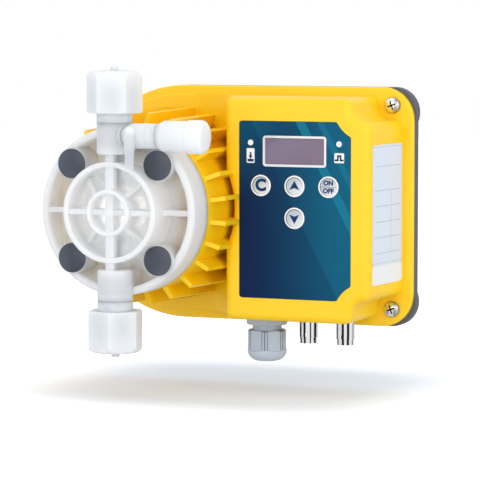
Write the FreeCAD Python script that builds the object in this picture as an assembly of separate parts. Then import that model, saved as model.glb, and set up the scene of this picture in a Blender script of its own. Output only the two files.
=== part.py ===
import FreeCAD, Part
import math
import os

# Diaphragm metering pump for wall mounting, in millimetres.
# X runs to the right, Z up, and the wall is the plane Y = 0. The pump stands out of the wall
# towards -Y, so a depth below means a distance in front of the wall. The origin is where the
# axis of the pump head meets the wall.

os.makedirs("parts", exist_ok=True)
Vector = FreeCAD.Vector
ACROSS = Vector(1, 0, 0)
FORWARD = Vector(0, -1, 0)
UP = Vector(0, 0, 1)

# How far a cutting tool runs past a face and fused pieces reach into each other, and the
# distance within which two places are the same
lap = 1.0
same = 1e-4

# Housing
flange_radius = 67.0
housing_right = 139.3
flange_corner = 18.0
back_plate_thickness = 7.4
back_floor = 3.0
back_rim = 6.0
back_plate_edge = 1.2
flange_thickness = 3.2
flange_edge = 1.4
ear_radius = 14.0
ear_reach = 1.0
gasket_width = 2.2
gasket_inset = 2.0
gasket_height = 1.2

# Raised block that carries the controls
block_left = 44.6
block_margin = 5.2
block_side_margin = 5.5
block_side_slope = 3.6
block_front = 55.0
block_corner = 4.8
block_edge = 4.0
block_wall = 3.0
pocket_radius = 8.2
screw_from_side = 11.7
screw_from_top = 10.0

# Finned barrel round the magnet; the fins end behind the barrel's front by fin_front
shoulder_radius = 62.5
shoulder_height = 2.8
shoulder_edge = 1.2
bite_radius = 49.4
barrel_radius = 46.3
barrel_bore = 42.5
barrel_front = 81.0
barrel_front_wall = 6.0
barrel_opening = 24.0
fin_count = 24
fin_thickness = 2.5
fin_front = 4.5
fin_crest_front = 53.5
fin_crest_back = 55.0
fin_nose = 3.6

# Fasteners
cover_screw_radius = 2.45
cover_screw_head = 4.5
cover_screw_head_height = 3.0
magnet_screw_radius = 2.5
magnet_screw_head = 4.6
magnet_screw_head_height = 3.0
magnet_screw_pitch = 40.0
wall_hole_radius = 2.1
wall_insert_radius = 3.55
wall_insert_length = 8.0
wall_pattern_x = 130.0
wall_pattern_z = 90.0
wall_pattern_centre = 45.0
screw_clearance = 0.25
thread_clearance = 0.05
screw_end_gap = 0.5
magnet_boss_wall = 1.6
magnet_screw_seat = 3.6
magnet_head_room = 0.3
magnet_key_radius = 2.0
magnet_key_depth = 1.8
insert_boss_wall = 2.4
insert_boss_floor = 1.2
cover_boss_radius = 7.0
cover_screw_tip = 1.6
recess_arm = 2.5
recess_half_width = 0.45
recess_depth = 1.6
recess_turn = 20.0

# Magnet and plunger
magnet_back = 14.0
yoke_plate = 6.0
yoke_wall = 4.5
yoke_clearance = 0.3
pole_plate_thickness = 8.0
pole_nose_radius = 15.5
pole_nose_front = 51.0
bobbin_bore = 16.2
bobbin_wall = 1.4
bobbin_flange = 2.0
winding_radius = 35.5
armature_radius = 15.9
armature_length = 27.4
armature_gap = 1.6
shaft_radius = 4.0
shaft_tail = 2.0
bush_wall = 1.95
front_bush_length = 15.0
running_clearance = 0.05
seat_clearance = 0.1
press_clearance = 0.02
coil_play = 0.2
armature_edge = 0.8
spring_radius = 6.5
spring_wire = 0.7
spring_turns = 4
spring_pocket_radius = 8.5
spring_pocket_depth = 8.0

# Diaphragm
stroke = 1.25
diaphragm_radius = 31.0
diaphragm_rim = 6.0
diaphragm_rim_thickness = 3.4
diaphragm_web = 1.6
diaphragm_centre = 13.0
diaphragm_face = 1.2
insert_radius = 11.0
insert_thickness = 1.6
insert_stud_radius = 2.5
insert_stud_length = 8.0
backing_thickness = 5.0
backing_hole = 6.0
insert_gap = 0.6
web_slope = 1.5
rim_slope = 1.0
shaft_seal_inset = 1.0

# Pump head; its front faces and the screws' seat are distances in front of the barrel
head_radius = 46.3
head_rim = 4.5
head_rim_front = 19.0
head_floor_front = 6.0
inner_floor_front = 7.0
chamber_radius = 24.6
chamber_clearance = 0.25
middle_ring_radius = 27.7
middle_ring_wall = 3.0
middle_ring_front = 29.3
hub_radius = 12.7
hub_wall = 2.3
hub_front = 31.2
upright_rib = 4.8
upright_rib_front = 28.2
cross_rib = 3.0
cross_rib_front = 27.6
outer_rib_front = 18.0
gusset_thickness = 2.6
gusset_hub_front = 27.0
gusset_ring_front = 18.5
hub_boss_radius = 2.6
rim_edge = 2.2
ring_edge = 0.9
hub_edge = 0.7
neck_edge = 0.7
bleed_face_gap = 0.65
head_screw_room = 0.4
head_key_flats = 4.0
head_key_depth = 2.5
cap_stem_gap = 0.35
head_screw_pitch = 51.8
head_boss_radius = 8.7
head_boss_front = 21.4
head_screw_radius = 2.5
head_screw_head = 4.25
head_screw_head_height = 5.0
head_screw_seat = 11.0
head_screw_thread = 7.0
cap_radius = 8.15
cap_rim = 0.6
cap_dome = 0.8
cap_stem_length = 4.0

# Valves, with their axis in front of the barrel by valve_depth
valve_depth = 21.0
neck_radius = 9.75
neck_start = 31.5
port_face = 48.6
neck_end = 66.0
neck_wall_half = 9.2
port_radius = 7.0
port_floor = 36.0
channel_radius = 1.5
inlet_radius = 1.2
channel_offset = 16.0
seal_height = 1.4
seal_radius = 5.0
ball_radius = 3.0
ball_lift = 1.2
ball_gap = 0.03
cage_radius = 3.9
seat_radius = 4.6
seat_hole = 2.2
seat_height = 3.0
outlet_radius = 1.9
lift_clearance = 0.05
stop_roof = 1.25
stop_slot_half = 0.8
stop_slot_depth = 1.0

# Tube connections
nut_start = 54.0
nut_top = 77.3
nut_across_flats = 27.0
nut_turn = -12.7
nut_edge = 1.2
nut_crown = 4.6
nut_hole = 3.4
nut_roof = 3.3
nozzle_flange_radius = 8.8
nozzle_flange = 2.4
nozzle_radius = 2.0
nozzle_tip_radius = 2.25
nozzle_tip = 79.6
nozzle_bore = 1.2
clamp_ring_radius = 6.2
clamp_ring_bore = 3.3
clamp_ring_slope = 1.5
nozzle_seat_recess = 0.4
nozzle_fillet = 1.3
nozzle_barb = 3.4
nozzle_barb_slope = 0.6
nozzle_point = 0.5
clamp_room = 0.3
nut_foot_edge = 0.9
nut_face_edge = 0.35

# Bleed valve; the arm's axis and the spout's lie in front of the barrel by their depths
bleed_height = 42.0
bleed_depth = 27.5
elbow_across = 16.0
elbow_radius = 6.9
bleed_pad_radius = 6.2
bleed_stub_radius = 5.5
bleed_arm_radius = 6.8
bleed_arm_end = 29.7
bleed_waist_share = 1.16
bleed_waist_depth = 0.5
bleed_arm_slope = 0.5
bleed_stem_radius = 2.55
bleed_stem_reach = 12.0
bleed_stem_tip = 2.4
bleed_stem_point = 2.0
bleed_groove = 4.0
bleed_groove_half = 0.7
bleed_groove_depth = 0.6
bleed_seal_half = 0.6
bleed_passage = 1.2
spout_depth = 34.8
spout_across = 15.5
spout_end = 24.4
spout_straight = 8.0
spout_radius = 2.5
spout_root = 3.1
spout_root_half = 2.1
spout_waist_drop = 6.5
spout_waist = 0.5
knob_radius = 9.1
knob_waist = 8.5
knob_neck = 6.9
knob_start = 30.0
knob_step = 48.1
knob_end = 57.2
knob_edge = 2.6
knob_foot = 3.1
knob_draft = 0.1
knob_step_slope = 0.5

# Controls
panel_margin = 8.9
panel_width = 66.2
panel_half = 49.1
panel_corner_cut = 18.0
panel_corner = 1.8
panel_thickness = 0.6
panel_clearance = 0.15
display_width = 37.5
display_height = 17.0
display_centre = 32.5
display_border = 1.25
display_corner = 1.8
display_lip = 1.1
bezel_proud = 0.4
lamp_radius = 1.6
lamp_proud = 0.2
lamp_foot = 0.9
lamp_foot_height = 2.0
lamp_height = 37.0
lamp_spacing = 52.3
button_radius = 5.95
button_proud = 0.4
button_flange = 1.1
button_pitch = 20.0
button_row = 13.4
button_drop = 17.6
button_travel = 0.4
button_stem = 2.0
button_edge = 0.3
button_rim = 0.9
button_dish = 0.15
button_flange_height = 0.8
button_flange_gap = 0.3
switch_gap = 0.05
board_front = 42.6
board_thickness = 1.6
board_margin = 2.5
board_post_radius = 3.0
right_post_height = 28.0
board_screw_radius = 1.2
board_screw_head_height = 1.4
board_screw_reach = 6.0
switch_size = 6.0
switch_height = 3.2
transformer_inset = 8.0
transformer_width = 34.0
transformer_low = -26.0
transformer_high = 2.0
transformer_depth = 14.0
transformer_rim = 6.0
transformer_winding_proud = 3.0
terminal_inset = 11.0
terminal_lift = 2.0
terminal_count = 6
terminal_pitch = 6.0
terminal_height = 10.0
terminal_depth = 11.0
terminal_hole = 1.8
terminal_hole_depth = 4.0

# Label on the block's right side
label_back = 12.4
label_front = 50.5
label_top = 36.4
label_bottom = -29.6
sticker_bottom = -40.3
label_thickness = 0.25
label_gap = 0.1
label_corner = 1.6

# Cable gland and signal sockets under the block
socket_depth = 30.0
gland_across = 60.0
gland_thread = 8.1
gland_hex = 22.0
gland_collar = 4.4
gland_collar_round = 12.2
gland_collar_edge = 1.0
gland_turn = 15.0
gland_neck_radius = 8.2
gland_neck_end = 78.5
gland_bore = 5.6
gland_thread_length = 9.5
gland_nut_top = 69.4
gland_nut_shoulder = 80.9
gland_nut_end = 86.8
gland_nut_radius = 11.1
gland_nut_flat = 10.4
gland_mouth = 5.0
gland_seal_bore = 3.3
gland_seal_length = 12.0
gland_seal_gap = 0.1
gland_seal_proud = 1.5
gland_foot_edge = 0.7
gland_cup_roof = 4.6
gland_cup_room = 0.3
gland_groove_radius = 0.6
gland_groove_centre = 0.25
gland_groove_step = 9.0
gland_groove_start = 0.6
locknut_height = 4.0
bnc_first = 85.2
bnc_pitch = 21.9
bnc_radius = 5.2
bnc_bore = 4.2
bnc_nose_radius = 4.85
bnc_nose_length = 3.3
bnc_end = 75.7
bnc_flange = 6.2
bnc_thread = 4.7
bnc_lug_radius = 1.0
bnc_lug_reach = 0.6
bnc_lug_height = 71.0
bnc_nut_flats = 11.6
bnc_nut_height = 2.4
bnc_pad = 1.2
bnc_pad_reach = 6.6
bnc_tail = 4.0
bnc_washer = 1.2
bnc_core_radius = 2.4
bnc_core_seat = 2.0
bnc_core_recess = 1.5
bnc_core_bore = 1.1
bnc_contact_radius = 1.05
bnc_contact_bore = 0.69
bnc_contact_depth = 4.0
bnc_contact_gap = 0.2
bnc_contact_tail = 3.0

# Values that follow from those above
flange_front = back_plate_thickness + flange_thickness
shoulder_front = flange_front + shoulder_height
block_half = flange_radius - block_margin
block_foot_right = housing_right - block_side_margin
block_face_right = block_foot_right - block_side_slope
cover_screw_x = housing_right - screw_from_side
cover_screw_z = flange_radius - screw_from_top
block_inner = block_front - block_wall
yoke_radius = barrel_bore - yoke_clearance
pole_back = barrel_front - barrel_front_wall - pole_plate_thickness
pole_front = barrel_front - barrel_front_wall
armature_front = pole_nose_front - armature_gap
armature_back = armature_front - armature_length
insert_back = pole_front + backing_thickness + insert_gap
shaft_front = insert_back
recess_floor = barrel_front + diaphragm_rim_thickness
diaphragm_front = insert_back + insert_thickness + diaphragm_face
chamber_front = diaphragm_front + stroke + chamber_clearance
head_rim_face = barrel_front + head_rim_front
head_floor_face = barrel_front + head_floor_front
inner_floor_face = barrel_front + inner_floor_front
middle_ring_face = barrel_front + middle_ring_front
hub_face = barrel_front + hub_front
upright_rib_face = barrel_front + upright_rib_front
cross_rib_face = barrel_front + cross_rib_front
outer_rib_face = barrel_front + outer_rib_front
gusset_hub_face = barrel_front + gusset_hub_front
gusset_ring_face = barrel_front + gusset_ring_front
head_boss_face = barrel_front + head_boss_front
head_screw_face = barrel_front + head_screw_seat
valve_plane = barrel_front + valve_depth
bleed_plane = barrel_front + bleed_depth
spout_plane = barrel_front + spout_depth
fin_face = barrel_front - fin_front
boss_offset = head_screw_pitch / 2
panel_left = block_left + panel_margin
panel_right = panel_left + panel_width
panel_middle = panel_left + panel_width / 2
panel_back = block_front - panel_thickness
board_back = board_front - board_thickness
gland_seat = block_half
ball_seat_drop = math.sqrt(ball_radius ** 2 - seat_hole ** 2)


def at(x, depth, z):
    return Vector(x, -depth, z)


def rod(x, z, radius, back, front):
    return Part.makeCylinder(radius, front - back, at(x, back, z), FORWARD)


def tube(x, z, radius, bore, back, front):
    return rod(x, z, radius, back, front).cut(rod(x, z, bore, back - lap, front + lap))


def pillar(x, depth, radius, low, high):
    return Part.makeCylinder(radius, high - low, at(x, depth, low), UP)


def beam(depth, z, radius, left, right):
    return Part.makeCylinder(radius, right - left, at(left, depth, z), ACROSS)


def bar(start, end, radius):
    run = end - start
    return Part.makeCylinder(radius, run.Length, start, run)


def block(left, right, back, front, low, high):
    return Part.makeBox(right - left, front - back, high - low, at(left, front, low))


def join(shapes):
    whole = shapes[0].fuse(shapes[1:]) if len(shapes) > 1 else shapes[0]
    return whole.removeSplitter()


def turned(points, centre, axis, outward):
    """Solid of revolution of (radius, distance along the axis) points."""
    places = [centre + outward * radius + axis * along for radius, along in points]
    wire = Part.makePolygon(places + places[:1])
    return Part.Face(wire).revolve(centre, axis, 360)


def turned_forward(points, x=0.0, z=0.0):
    return turned(points, at(x, 0, z), FORWARD, ACROSS)


def turned_up(points, x, depth):
    return turned(points, at(x, depth, 0), UP, ACROSS)


def turned_across(points, depth, z):
    return turned(points, at(0, depth, z), ACROSS, UP)


def ring(radius, section, centre, axis):
    return Part.makeTorus(radius, section, centre, axis)


def hex_prism(across_flats, centre, height, turn=0.0):
    """Six-sided prism that stands up from its centre."""
    corner = across_flats / math.sqrt(3)
    angles = [math.radians(turn + 60 * step) for step in range(7)]
    corners = [centre + Vector(corner * math.sin(a), -corner * math.cos(a), 0) for a in angles]
    return Part.Face(Part.makePolygon(corners)).extrude(UP * height)


def upside_down(shape):
    """Turns a piece of the upper valve over to the lower valve."""
    copy = shape.copy()
    copy.rotate(at(0, valve_plane, 0), FORWARD, 180)
    return copy


def four_corners(offset):
    return [(x, z) for x in (-offset, offset) for z in (-offset, offset)]


def closed_path(start, steps, depth):
    """Wire through steps of (middle or None, end); a middle point makes an arc."""
    edges = []
    here = at(start[0], depth, start[1])
    for middle, end in steps:
        there = at(end[0], depth, end[1])
        if middle is None:
            edges.append(Part.makeLine(here, there))
        else:
            edges.append(Part.Arc(here, at(middle[0], depth, middle[1]), there).toShape())
        here = there
    return Part.Wire(edges)


def on_circle(centre, radius, towards):
    dx = towards[0] - centre[0]
    dz = towards[1] - centre[1]
    length = math.hypot(dx, dz)
    return (centre[0] + dx / length * radius, centre[1] + dz / length * radius)


def flange_wire(depth, inset=0.0):
    half = flange_radius - inset
    right = housing_right - inset
    corner = flange_corner - inset
    bend = corner * math.sqrt(0.5)
    x = right - corner
    z = half - corner
    steps = [
        (None, (x, half)),
        ((x + bend, z + bend), (right, z)),
        (None, (right, -z)),
        ((x + bend, -z - bend), (x, -half)),
        (None, (0, -half)),
        ((-half, 0), (0, half)),
    ]
    return closed_path((0, half), steps, depth)


def notched_wire(depth, left, right, half, notch, corner, bite=None):
    """Rectangle with both right corners cut round the cover screws, and with the barrel's
    round bite out of the left side where bite is its radius."""
    screw = (cover_screw_x, cover_screw_z)
    reach = notch + corner
    upper = (screw[0] - math.sqrt(reach ** 2 - (half - corner - screw[1]) ** 2), half - corner)
    side = (right - corner, screw[1] - math.sqrt(reach ** 2 - (right - corner - screw[0]) ** 2))
    bend = corner * math.sqrt(0.5)
    leave = on_circle(screw, notch, upper)
    enter = on_circle(screw, notch, side)
    hollow = on_circle(screw, notch, ((leave[0] + enter[0]) / 2, (leave[1] + enter[1]) / 2))
    upper_bend = on_circle(upper, corner, ((upper[0] + leave[0]) / 2, (half + leave[1]) / 2))
    side_bend = on_circle(side, corner, ((right + enter[0]) / 2, (side[1] + enter[1]) / 2))
    points = [(left, half - corner)]
    bends = []
    if bite is not None:
        heel = (left + corner, math.sqrt((bite + corner) ** 2 - (left + corner) ** 2))
        touch = on_circle((0, 0), bite, heel)
        wall = (left, heel[1])
        heel_bend = on_circle(heel, corner, ((wall[0] + touch[0]) / 2, (wall[1] + touch[1]) / 2))
        points = [touch, wall] + points
        bends = [heel_bend, None]
    points += [(left + corner, half), (upper[0], half), leave, enter, (right, side[1])]
    bends += [(left + corner - bend, half - corner + bend), None, upper_bend, hollow, side_bend]
    steps = list(zip(bends, points[1:]))
    steps.append((None, (right, -side[1])))
    mirrored = [(x, -z) for x, z in reversed(points)]
    mirrored_bends = [None if b is None else (b[0], -b[1]) for b in reversed(bends)]
    steps += list(zip(mirrored_bends, mirrored[1:]))
    if bite is not None:
        steps.append(((bite, 0), points[0]))
    else:
        steps.append((None, points[0]))
    return closed_path(points[0], steps, depth)


def slab(wire, thickness):
    """Plate that grows forward from a flat outline."""
    return Part.Face(wire).extrude(FORWARD * thickness)


def block_body(inset, back, front):
    share = (block_front - back) / (block_front - flange_front)
    right_back = block_face_right + block_side_slope * share - inset
    right_front = block_face_right + block_side_slope * (block_front - front) / (
        block_front - flange_front) - inset
    corner = block_corner - inset * 0.5
    sections = []
    for depth, right in ((back, right_back), (front, right_front)):
        sections.append(notched_wire(depth, block_left + inset, right, block_half - inset,
                                     pocket_radius + inset, corner, bite_radius + inset))
    return Part.makeLoft(sections, True, True)


def front_edges(shape, depth):
    chosen = []
    for edge in shape.Edges:
        if all(abs(vertex.Point.y + depth) < same for vertex in edge.Vertexes):
            chosen.append(edge)
    return chosen


def upright_edges(shape):
    return [edge for edge in shape.Edges if edge.BoundBox.ZLength > shape.BoundBox.ZLength / 2]


def sweep_profile(inset, low):
    """Side view of the hollow curve that leads from the barrel's shoulder up to the block."""
    radius = block_front - block_edge - shoulder_front
    centre_x = block_left - radius
    centre_depth = shoulder_front + radius
    bend = (radius + inset) * math.sqrt(0.5)
    foot = at(centre_x, centre_depth - radius - inset, 0)
    middle = at(centre_x + bend, centre_depth - bend, 0)
    head = at(centre_x + radius + inset, centre_depth, 0)
    far = block_left + block_corner + block_edge
    corners = [head, at(far, centre_depth, 0), at(far, low, 0), at(centre_x, low, 0), foot]
    edges = [Part.Arc(foot, middle, head).toShape()]
    for first, second in zip(corners, corners[1:]):
        if first.distanceToPoint(second) > same:
            edges.append(Part.makeLine(first, second))
    return Part.Face(Part.Wire(edges))


def swept_curve(inset, low):
    half = block_half - inset
    profile = sweep_profile(inset, low)
    profile.translate(Vector(0, 0, -half))
    return profile.extrude(UP * (2 * half))


def fins():
    """Radial cooling fins along the barrel, with sloping noses at the front."""
    inner = barrel_radius - lap
    outline = [
        at(inner, flange_front, 0),
        at(fin_crest_back, flange_front, 0),
        at(fin_crest_front, fin_face - fin_nose, 0),
        at(barrel_radius, fin_face, 0),
        at(inner, fin_face, 0),
    ]
    plate = Part.Face(Part.makePolygon(outline + outline[:1]))
    plate.translate(Vector(0, 0, -fin_thickness / 2))
    fin = plate.extrude(UP * fin_thickness)
    copies = []
    for step in range(fin_count):
        copy = fin.copy()
        copy.rotate(Vector(0, 0, 0), FORWARD, 360 / fin_count * (step + 0.5))
        copies.append(copy)
    return copies


def control_places():
    """Centre of each button on the panel."""
    return {
        "clear_button": (panel_middle - button_pitch, button_row),
        "up_button": (panel_middle, button_row),
        "on_off_button": (panel_middle + button_pitch, button_row),
        "down_button": (panel_middle, button_row - button_drop),
    }


def lamp_places():
    return [(panel_middle + side * lamp_spacing / 2, lamp_height) for side in (-1, 1)]


def board_posts():
    left = panel_left + board_margin + board_post_radius
    right = panel_right - board_margin - board_post_radius
    height = panel_half - board_margin - board_post_radius
    return [(left, height), (left, -height), (right, right_post_height), (right, -right_post_height)]


def display_block(border, back, front):
    """Block with the display's outline drawn in by a border, and round corners."""
    shape = block(panel_middle - display_width / 2 + border, panel_middle + display_width / 2 - border,
                  back, front,
                  display_centre - display_height / 2 + border,
                  display_centre + display_height / 2 - border)
    corners = [edge for edge in shape.Edges if edge.BoundBox.YLength > (front - back) / 2]
    return shape.makeFillet(display_corner - border, corners)


def make_cover():
    flange = slab(flange_wire(back_plate_thickness), flange_thickness)
    flange = flange.makeFillet(flange_edge, front_edges(flange, flange_front))
    shoulder = rod(0, 0, shoulder_radius, back_plate_thickness, shoulder_front)
    shoulder = shoulder.makeFillet(shoulder_edge, front_edges(shoulder, shoulder_front))
    raised = block_body(0, back_plate_thickness, block_front)
    raised = raised.makeFillet(block_edge, front_edges(raised, block_front))
    bite = rod(0, 0, bite_radius, shoulder_front, block_front + lap)
    curve = swept_curve(0, back_plate_thickness).cut(bite)
    body = join([flange, shoulder, raised, curve])
    inner_bite = rod(0, 0, bite_radius + block_wall, flange_front, block_front + lap)
    hollow_floor = back_plate_thickness - lap
    hollows = [
        rod(0, 0, shoulder_radius - block_wall, hollow_floor, flange_front),
        block_body(block_wall, hollow_floor, block_inner),
        swept_curve(block_wall, hollow_floor).cut(inner_bite),
    ]
    for hollow in hollows:
        body = body.cut(hollow)
    barrel = rod(0, 0, barrel_radius, flange_front, barrel_front)
    posts = [rod(x, z, board_post_radius, board_front, block_inner + lap) for x, z in board_posts()]
    pad = block(bnc_first - bnc_pad_reach, bnc_first + bnc_pitch + bnc_pad_reach,
                socket_depth - bnc_pad_reach, socket_depth + bnc_pad_reach,
                -block_half + block_wall - lap, -block_half + block_wall + bnc_pad)
    body = join([body, barrel, pad] + fins() + posts)
    holes = [
        rod(0, 0, barrel_bore, hollow_floor, pole_front),
        rod(0, 0, barrel_opening, pole_front - lap, barrel_front + lap),
        slab(notched_wire(panel_back, panel_left, panel_right, panel_half, panel_corner_cut,
                          panel_corner), panel_thickness + lap),
        display_block(display_lip - seat_clearance, block_inner - lap, block_front),
        pillar(gland_across, socket_depth, gland_thread, -block_half - lap,
               -block_half + block_wall + lap),
    ]
    for x, z in four_corners(boss_offset):
        holes.append(rod(x, z, head_screw_radius + screw_clearance, pole_front - lap,
                         barrel_front + lap))
    for side in (-1, 1):
        holes.append(rod(cover_screw_x, side * cover_screw_z, cover_screw_radius + screw_clearance,
                         hollow_floor, flange_front + lap))
    for place in control_places().values():
        holes.append(rod(place[0], place[1], button_radius + seat_clearance, block_inner - lap,
                         block_front))
    for place in lamp_places():
        holes.append(rod(place[0], place[1], lamp_radius + seat_clearance, block_inner - lap,
                         block_front))
    for place in board_posts():
        holes.append(rod(place[0], place[1], board_screw_radius + thread_clearance,
                         board_front - lap, block_inner - lap))
    for step in range(2):
        holes.append(pillar(bnc_first + step * bnc_pitch, socket_depth, bnc_thread + seat_clearance,
                            -block_half - lap, -block_half + block_wall + bnc_pad + lap))
    for hole in holes:
        body = body.cut(hole)
    return body


def wall_holes():
    return [(wall_pattern_centre + sx * wall_pattern_x / 2, sz * wall_pattern_z / 2)
            for sx in (-1, 1) for sz in (-1, 1)]


def make_back_plate():
    layers = [slab(flange_wire(0), back_plate_thickness)]
    for side in (-1, 1):
        layers.append(rod(housing_right + ear_reach - ear_radius, side * (flange_radius - ear_radius),
                          ear_radius, 0, back_plate_thickness))
    plate = join([layer.makeFillet(back_plate_edge, front_edges(layer, 0)) for layer in layers])
    tray = slab(flange_wire(back_floor, back_rim), back_plate_thickness)
    plate = plate.cut(tray)
    bosses = []
    for x, z in four_corners(magnet_screw_pitch / 2):
        bosses.append(rod(x, z, magnet_screw_head + magnet_boss_wall, back_floor - lap, magnet_back))
    for x, z in wall_holes():
        bosses.append(rod(x, z, wall_insert_radius + insert_boss_wall, back_floor - lap,
                          wall_insert_length + insert_boss_floor))
    for side in (-1, 1):
        bosses.append(rod(cover_screw_x, side * cover_screw_z, cover_boss_radius, back_floor - lap,
                          back_plate_thickness))
    plate = join([plate] + bosses)
    groove_back = back_plate_thickness - gasket_height
    groove = slab(flange_wire(groove_back, gasket_inset), gasket_height + lap)
    groove = groove.cut(slab(flange_wire(groove_back - lap, gasket_inset + gasket_width),
                             gasket_height + 3 * lap))
    plate = plate.cut(groove)
    for x, z in four_corners(magnet_screw_pitch / 2):
        plate = plate.cut(rod(x, z, magnet_screw_head + magnet_head_room, -lap, magnet_screw_seat))
        plate = plate.cut(rod(x, z, magnet_screw_radius + screw_clearance, 0, magnet_back + lap))
    for x, z in wall_holes():
        plate = plate.cut(rod(x, z, wall_insert_radius + thread_clearance, -lap, wall_insert_length))
    for side in (-1, 1):
        plate = plate.cut(rod(cover_screw_x, side * cover_screw_z,
                              cover_screw_radius + thread_clearance, cover_screw_tip - screw_end_gap,
                              back_plate_thickness + lap))
    return plate


def make_housing_gasket():
    back = back_plate_thickness - gasket_height
    outer = slab(flange_wire(back, gasket_inset + seat_clearance), gasket_height)
    inner = slab(flange_wire(back - lap, gasket_inset + gasket_width - seat_clearance),
                 gasket_height + 2 * lap)
    return outer.cut(inner)


def make_wall_inserts():
    return [tube(x, z, wall_insert_radius, wall_hole_radius, 0, wall_insert_length)
            for x, z in wall_holes()]


def cross_recess(x, z, front):
    """Two crossed slots in the face of a screw."""
    slots = []
    for turn in (0, 90):
        slot = block(x - recess_arm, x + recess_arm, front - recess_depth, front + lap,
                     z - recess_half_width, z + recess_half_width)
        slot.rotate(at(x, 0, z), FORWARD, turn + recess_turn)
        slots.append(slot)
    return join(slots)


def make_cover_screws():
    screws = []
    shoulder = flange_front + cover_screw_head_height * 0.4
    front = flange_front + cover_screw_head_height
    for side in (-1, 1):
        z = side * cover_screw_z
        head = [(0, front), (0, flange_front), (cover_screw_head, flange_front)]
        for share in (1.0, 0.92, 0.75, 0.4):
            rise = (front - shoulder) * math.sqrt(1 - share ** 2)
            head.append((cover_screw_head * share, shoulder + rise))
        screw = turned_forward(head, cover_screw_x, z)
        shank = rod(cover_screw_x, z, cover_screw_radius, cover_screw_tip, flange_front + lap)
        screws.append(join([screw, shank]).cut(cross_recess(cover_screw_x, z, front)))
    return screws


def make_magnet_screws():
    screws = []
    for x, z in four_corners(magnet_screw_pitch / 2):
        head_back = magnet_screw_seat - magnet_screw_head_height
        head = rod(x, z, magnet_screw_head, head_back, magnet_screw_seat)
        shank = rod(x, z, magnet_screw_radius, back_floor, magnet_back + yoke_plate - screw_end_gap)
        key = rod(x, z, magnet_key_radius, 0, head_back + magnet_key_depth)
        screws.append(join([head, shank]).cut(key))
    return screws


def make_magnet_yoke():
    yoke = rod(0, 0, yoke_radius, magnet_back, pole_back)
    yoke = yoke.cut(rod(0, 0, yoke_radius - yoke_wall, magnet_back + yoke_plate, pole_back + lap))
    yoke = yoke.cut(rod(0, 0, shaft_radius + bush_wall + running_clearance, 0, pole_back))
    for x, z in four_corners(magnet_screw_pitch / 2):
        yoke = yoke.cut(rod(x, z, magnet_screw_radius + thread_clearance, 0,
                            magnet_back + yoke_plate + lap))
    return yoke


def make_pole_plate():
    plate = rod(0, 0, yoke_radius, pole_back, pole_front)
    nose = rod(0, 0, pole_nose_radius, pole_nose_front, pole_back + lap)
    plate = join([plate, nose])
    plate = plate.cut(rod(0, 0, shaft_radius + bush_wall + running_clearance, 0, pole_front + lap))
    plate = plate.cut(rod(0, 0, spring_pocket_radius, 0, pole_nose_front + spring_pocket_depth))
    for x, z in four_corners(boss_offset):
        plate = plate.cut(rod(x, z, head_screw_radius + thread_clearance,
                              pole_front - head_screw_thread - screw_end_gap, pole_front + lap))
    return plate


def bobbin_span():
    return magnet_back + yoke_plate + coil_play, pole_back - coil_play


def make_coil_bobbin():
    back, front = bobbin_span()
    flange_edge_radius = yoke_radius - yoke_wall - yoke_clearance
    core = bobbin_bore + bobbin_wall
    outline = [
        (bobbin_bore, back), (flange_edge_radius, back), (flange_edge_radius, back + bobbin_flange),
        (core, back + bobbin_flange), (core, front - bobbin_flange),
        (flange_edge_radius, front - bobbin_flange), (flange_edge_radius, front), (bobbin_bore, front),
    ]
    return turned_forward(outline)


def make_coil_winding():
    back, front = bobbin_span()
    bore = bobbin_bore + bobbin_wall + seat_clearance
    return tube(0, 0, winding_radius, bore, back + bobbin_flange + seat_clearance,
                front - bobbin_flange - seat_clearance)


def make_armature():
    body = rod(0, 0, armature_radius, armature_back, armature_front)
    body = body.makeChamfer(armature_edge, body.Edges)
    return body.cut(rod(0, 0, shaft_radius + press_clearance, 0, armature_front + lap))


def make_plunger_shaft():
    shaft = rod(0, 0, shaft_radius, magnet_back - shaft_tail, shaft_front)
    return shaft.cut(rod(0, 0, insert_stud_radius + thread_clearance,
                         shaft_front - insert_stud_length - screw_end_gap, shaft_front + lap))


def make_shaft_bushes():
    outer = shaft_radius + bush_wall
    bore = shaft_radius + running_clearance
    rear = tube(0, 0, outer, bore, magnet_back, magnet_back + yoke_plate)
    front = tube(0, 0, outer, bore, pole_front - front_bush_length, pole_front)
    return [rear, front]


def make_return_spring():
    back = armature_front + spring_wire + press_clearance
    front = pole_nose_front + spring_pocket_depth - spring_wire - press_clearance
    height = front - back
    helix = Part.makeHelix(height / spring_turns, height, spring_radius)
    circle = Part.Circle(Vector(spring_radius, 0, 0), Vector(0, 1, 0), spring_wire)
    section = Part.Wire([circle.toShape()])
    coil = Part.Wire(helix).makePipeShell([section], True, True)
    coil.rotate(Vector(0, 0, 0), ACROSS, 90)
    coil.translate(Vector(0, -back, 0))
    return coil


def make_backing_disc():
    return tube(0, 0, barrel_opening - seat_clearance, backing_hole, pole_front,
                pole_front + backing_thickness)


def make_shaft_seal():
    return tube(0, 0, backing_hole - running_clearance, shaft_radius + running_clearance,
                pole_front + shaft_seal_inset, pole_front + backing_thickness - shaft_seal_inset)


def make_diaphragm_insert():
    disc = rod(0, 0, insert_radius, insert_back, insert_back + insert_thickness)
    stud = rod(0, 0, insert_stud_radius, insert_back - insert_stud_length,
               insert_back + insert_thickness)
    return join([disc, stud])


def make_diaphragm():
    back = barrel_front
    web_front = back + diaphragm_web
    rim_inner = diaphragm_radius - diaphragm_rim
    outline = [
        (0, insert_back + insert_thickness),
        (insert_radius + running_clearance, insert_back + insert_thickness),
        (insert_radius + running_clearance, back), (diaphragm_radius, back),
        (diaphragm_radius, recess_floor),
        (rim_inner, recess_floor), (rim_inner - rim_slope, web_front),
        (diaphragm_centre + web_slope, web_front), (diaphragm_centre, diaphragm_front),
        (0, diaphragm_front),
    ]
    return turned_forward(outline)


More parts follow.
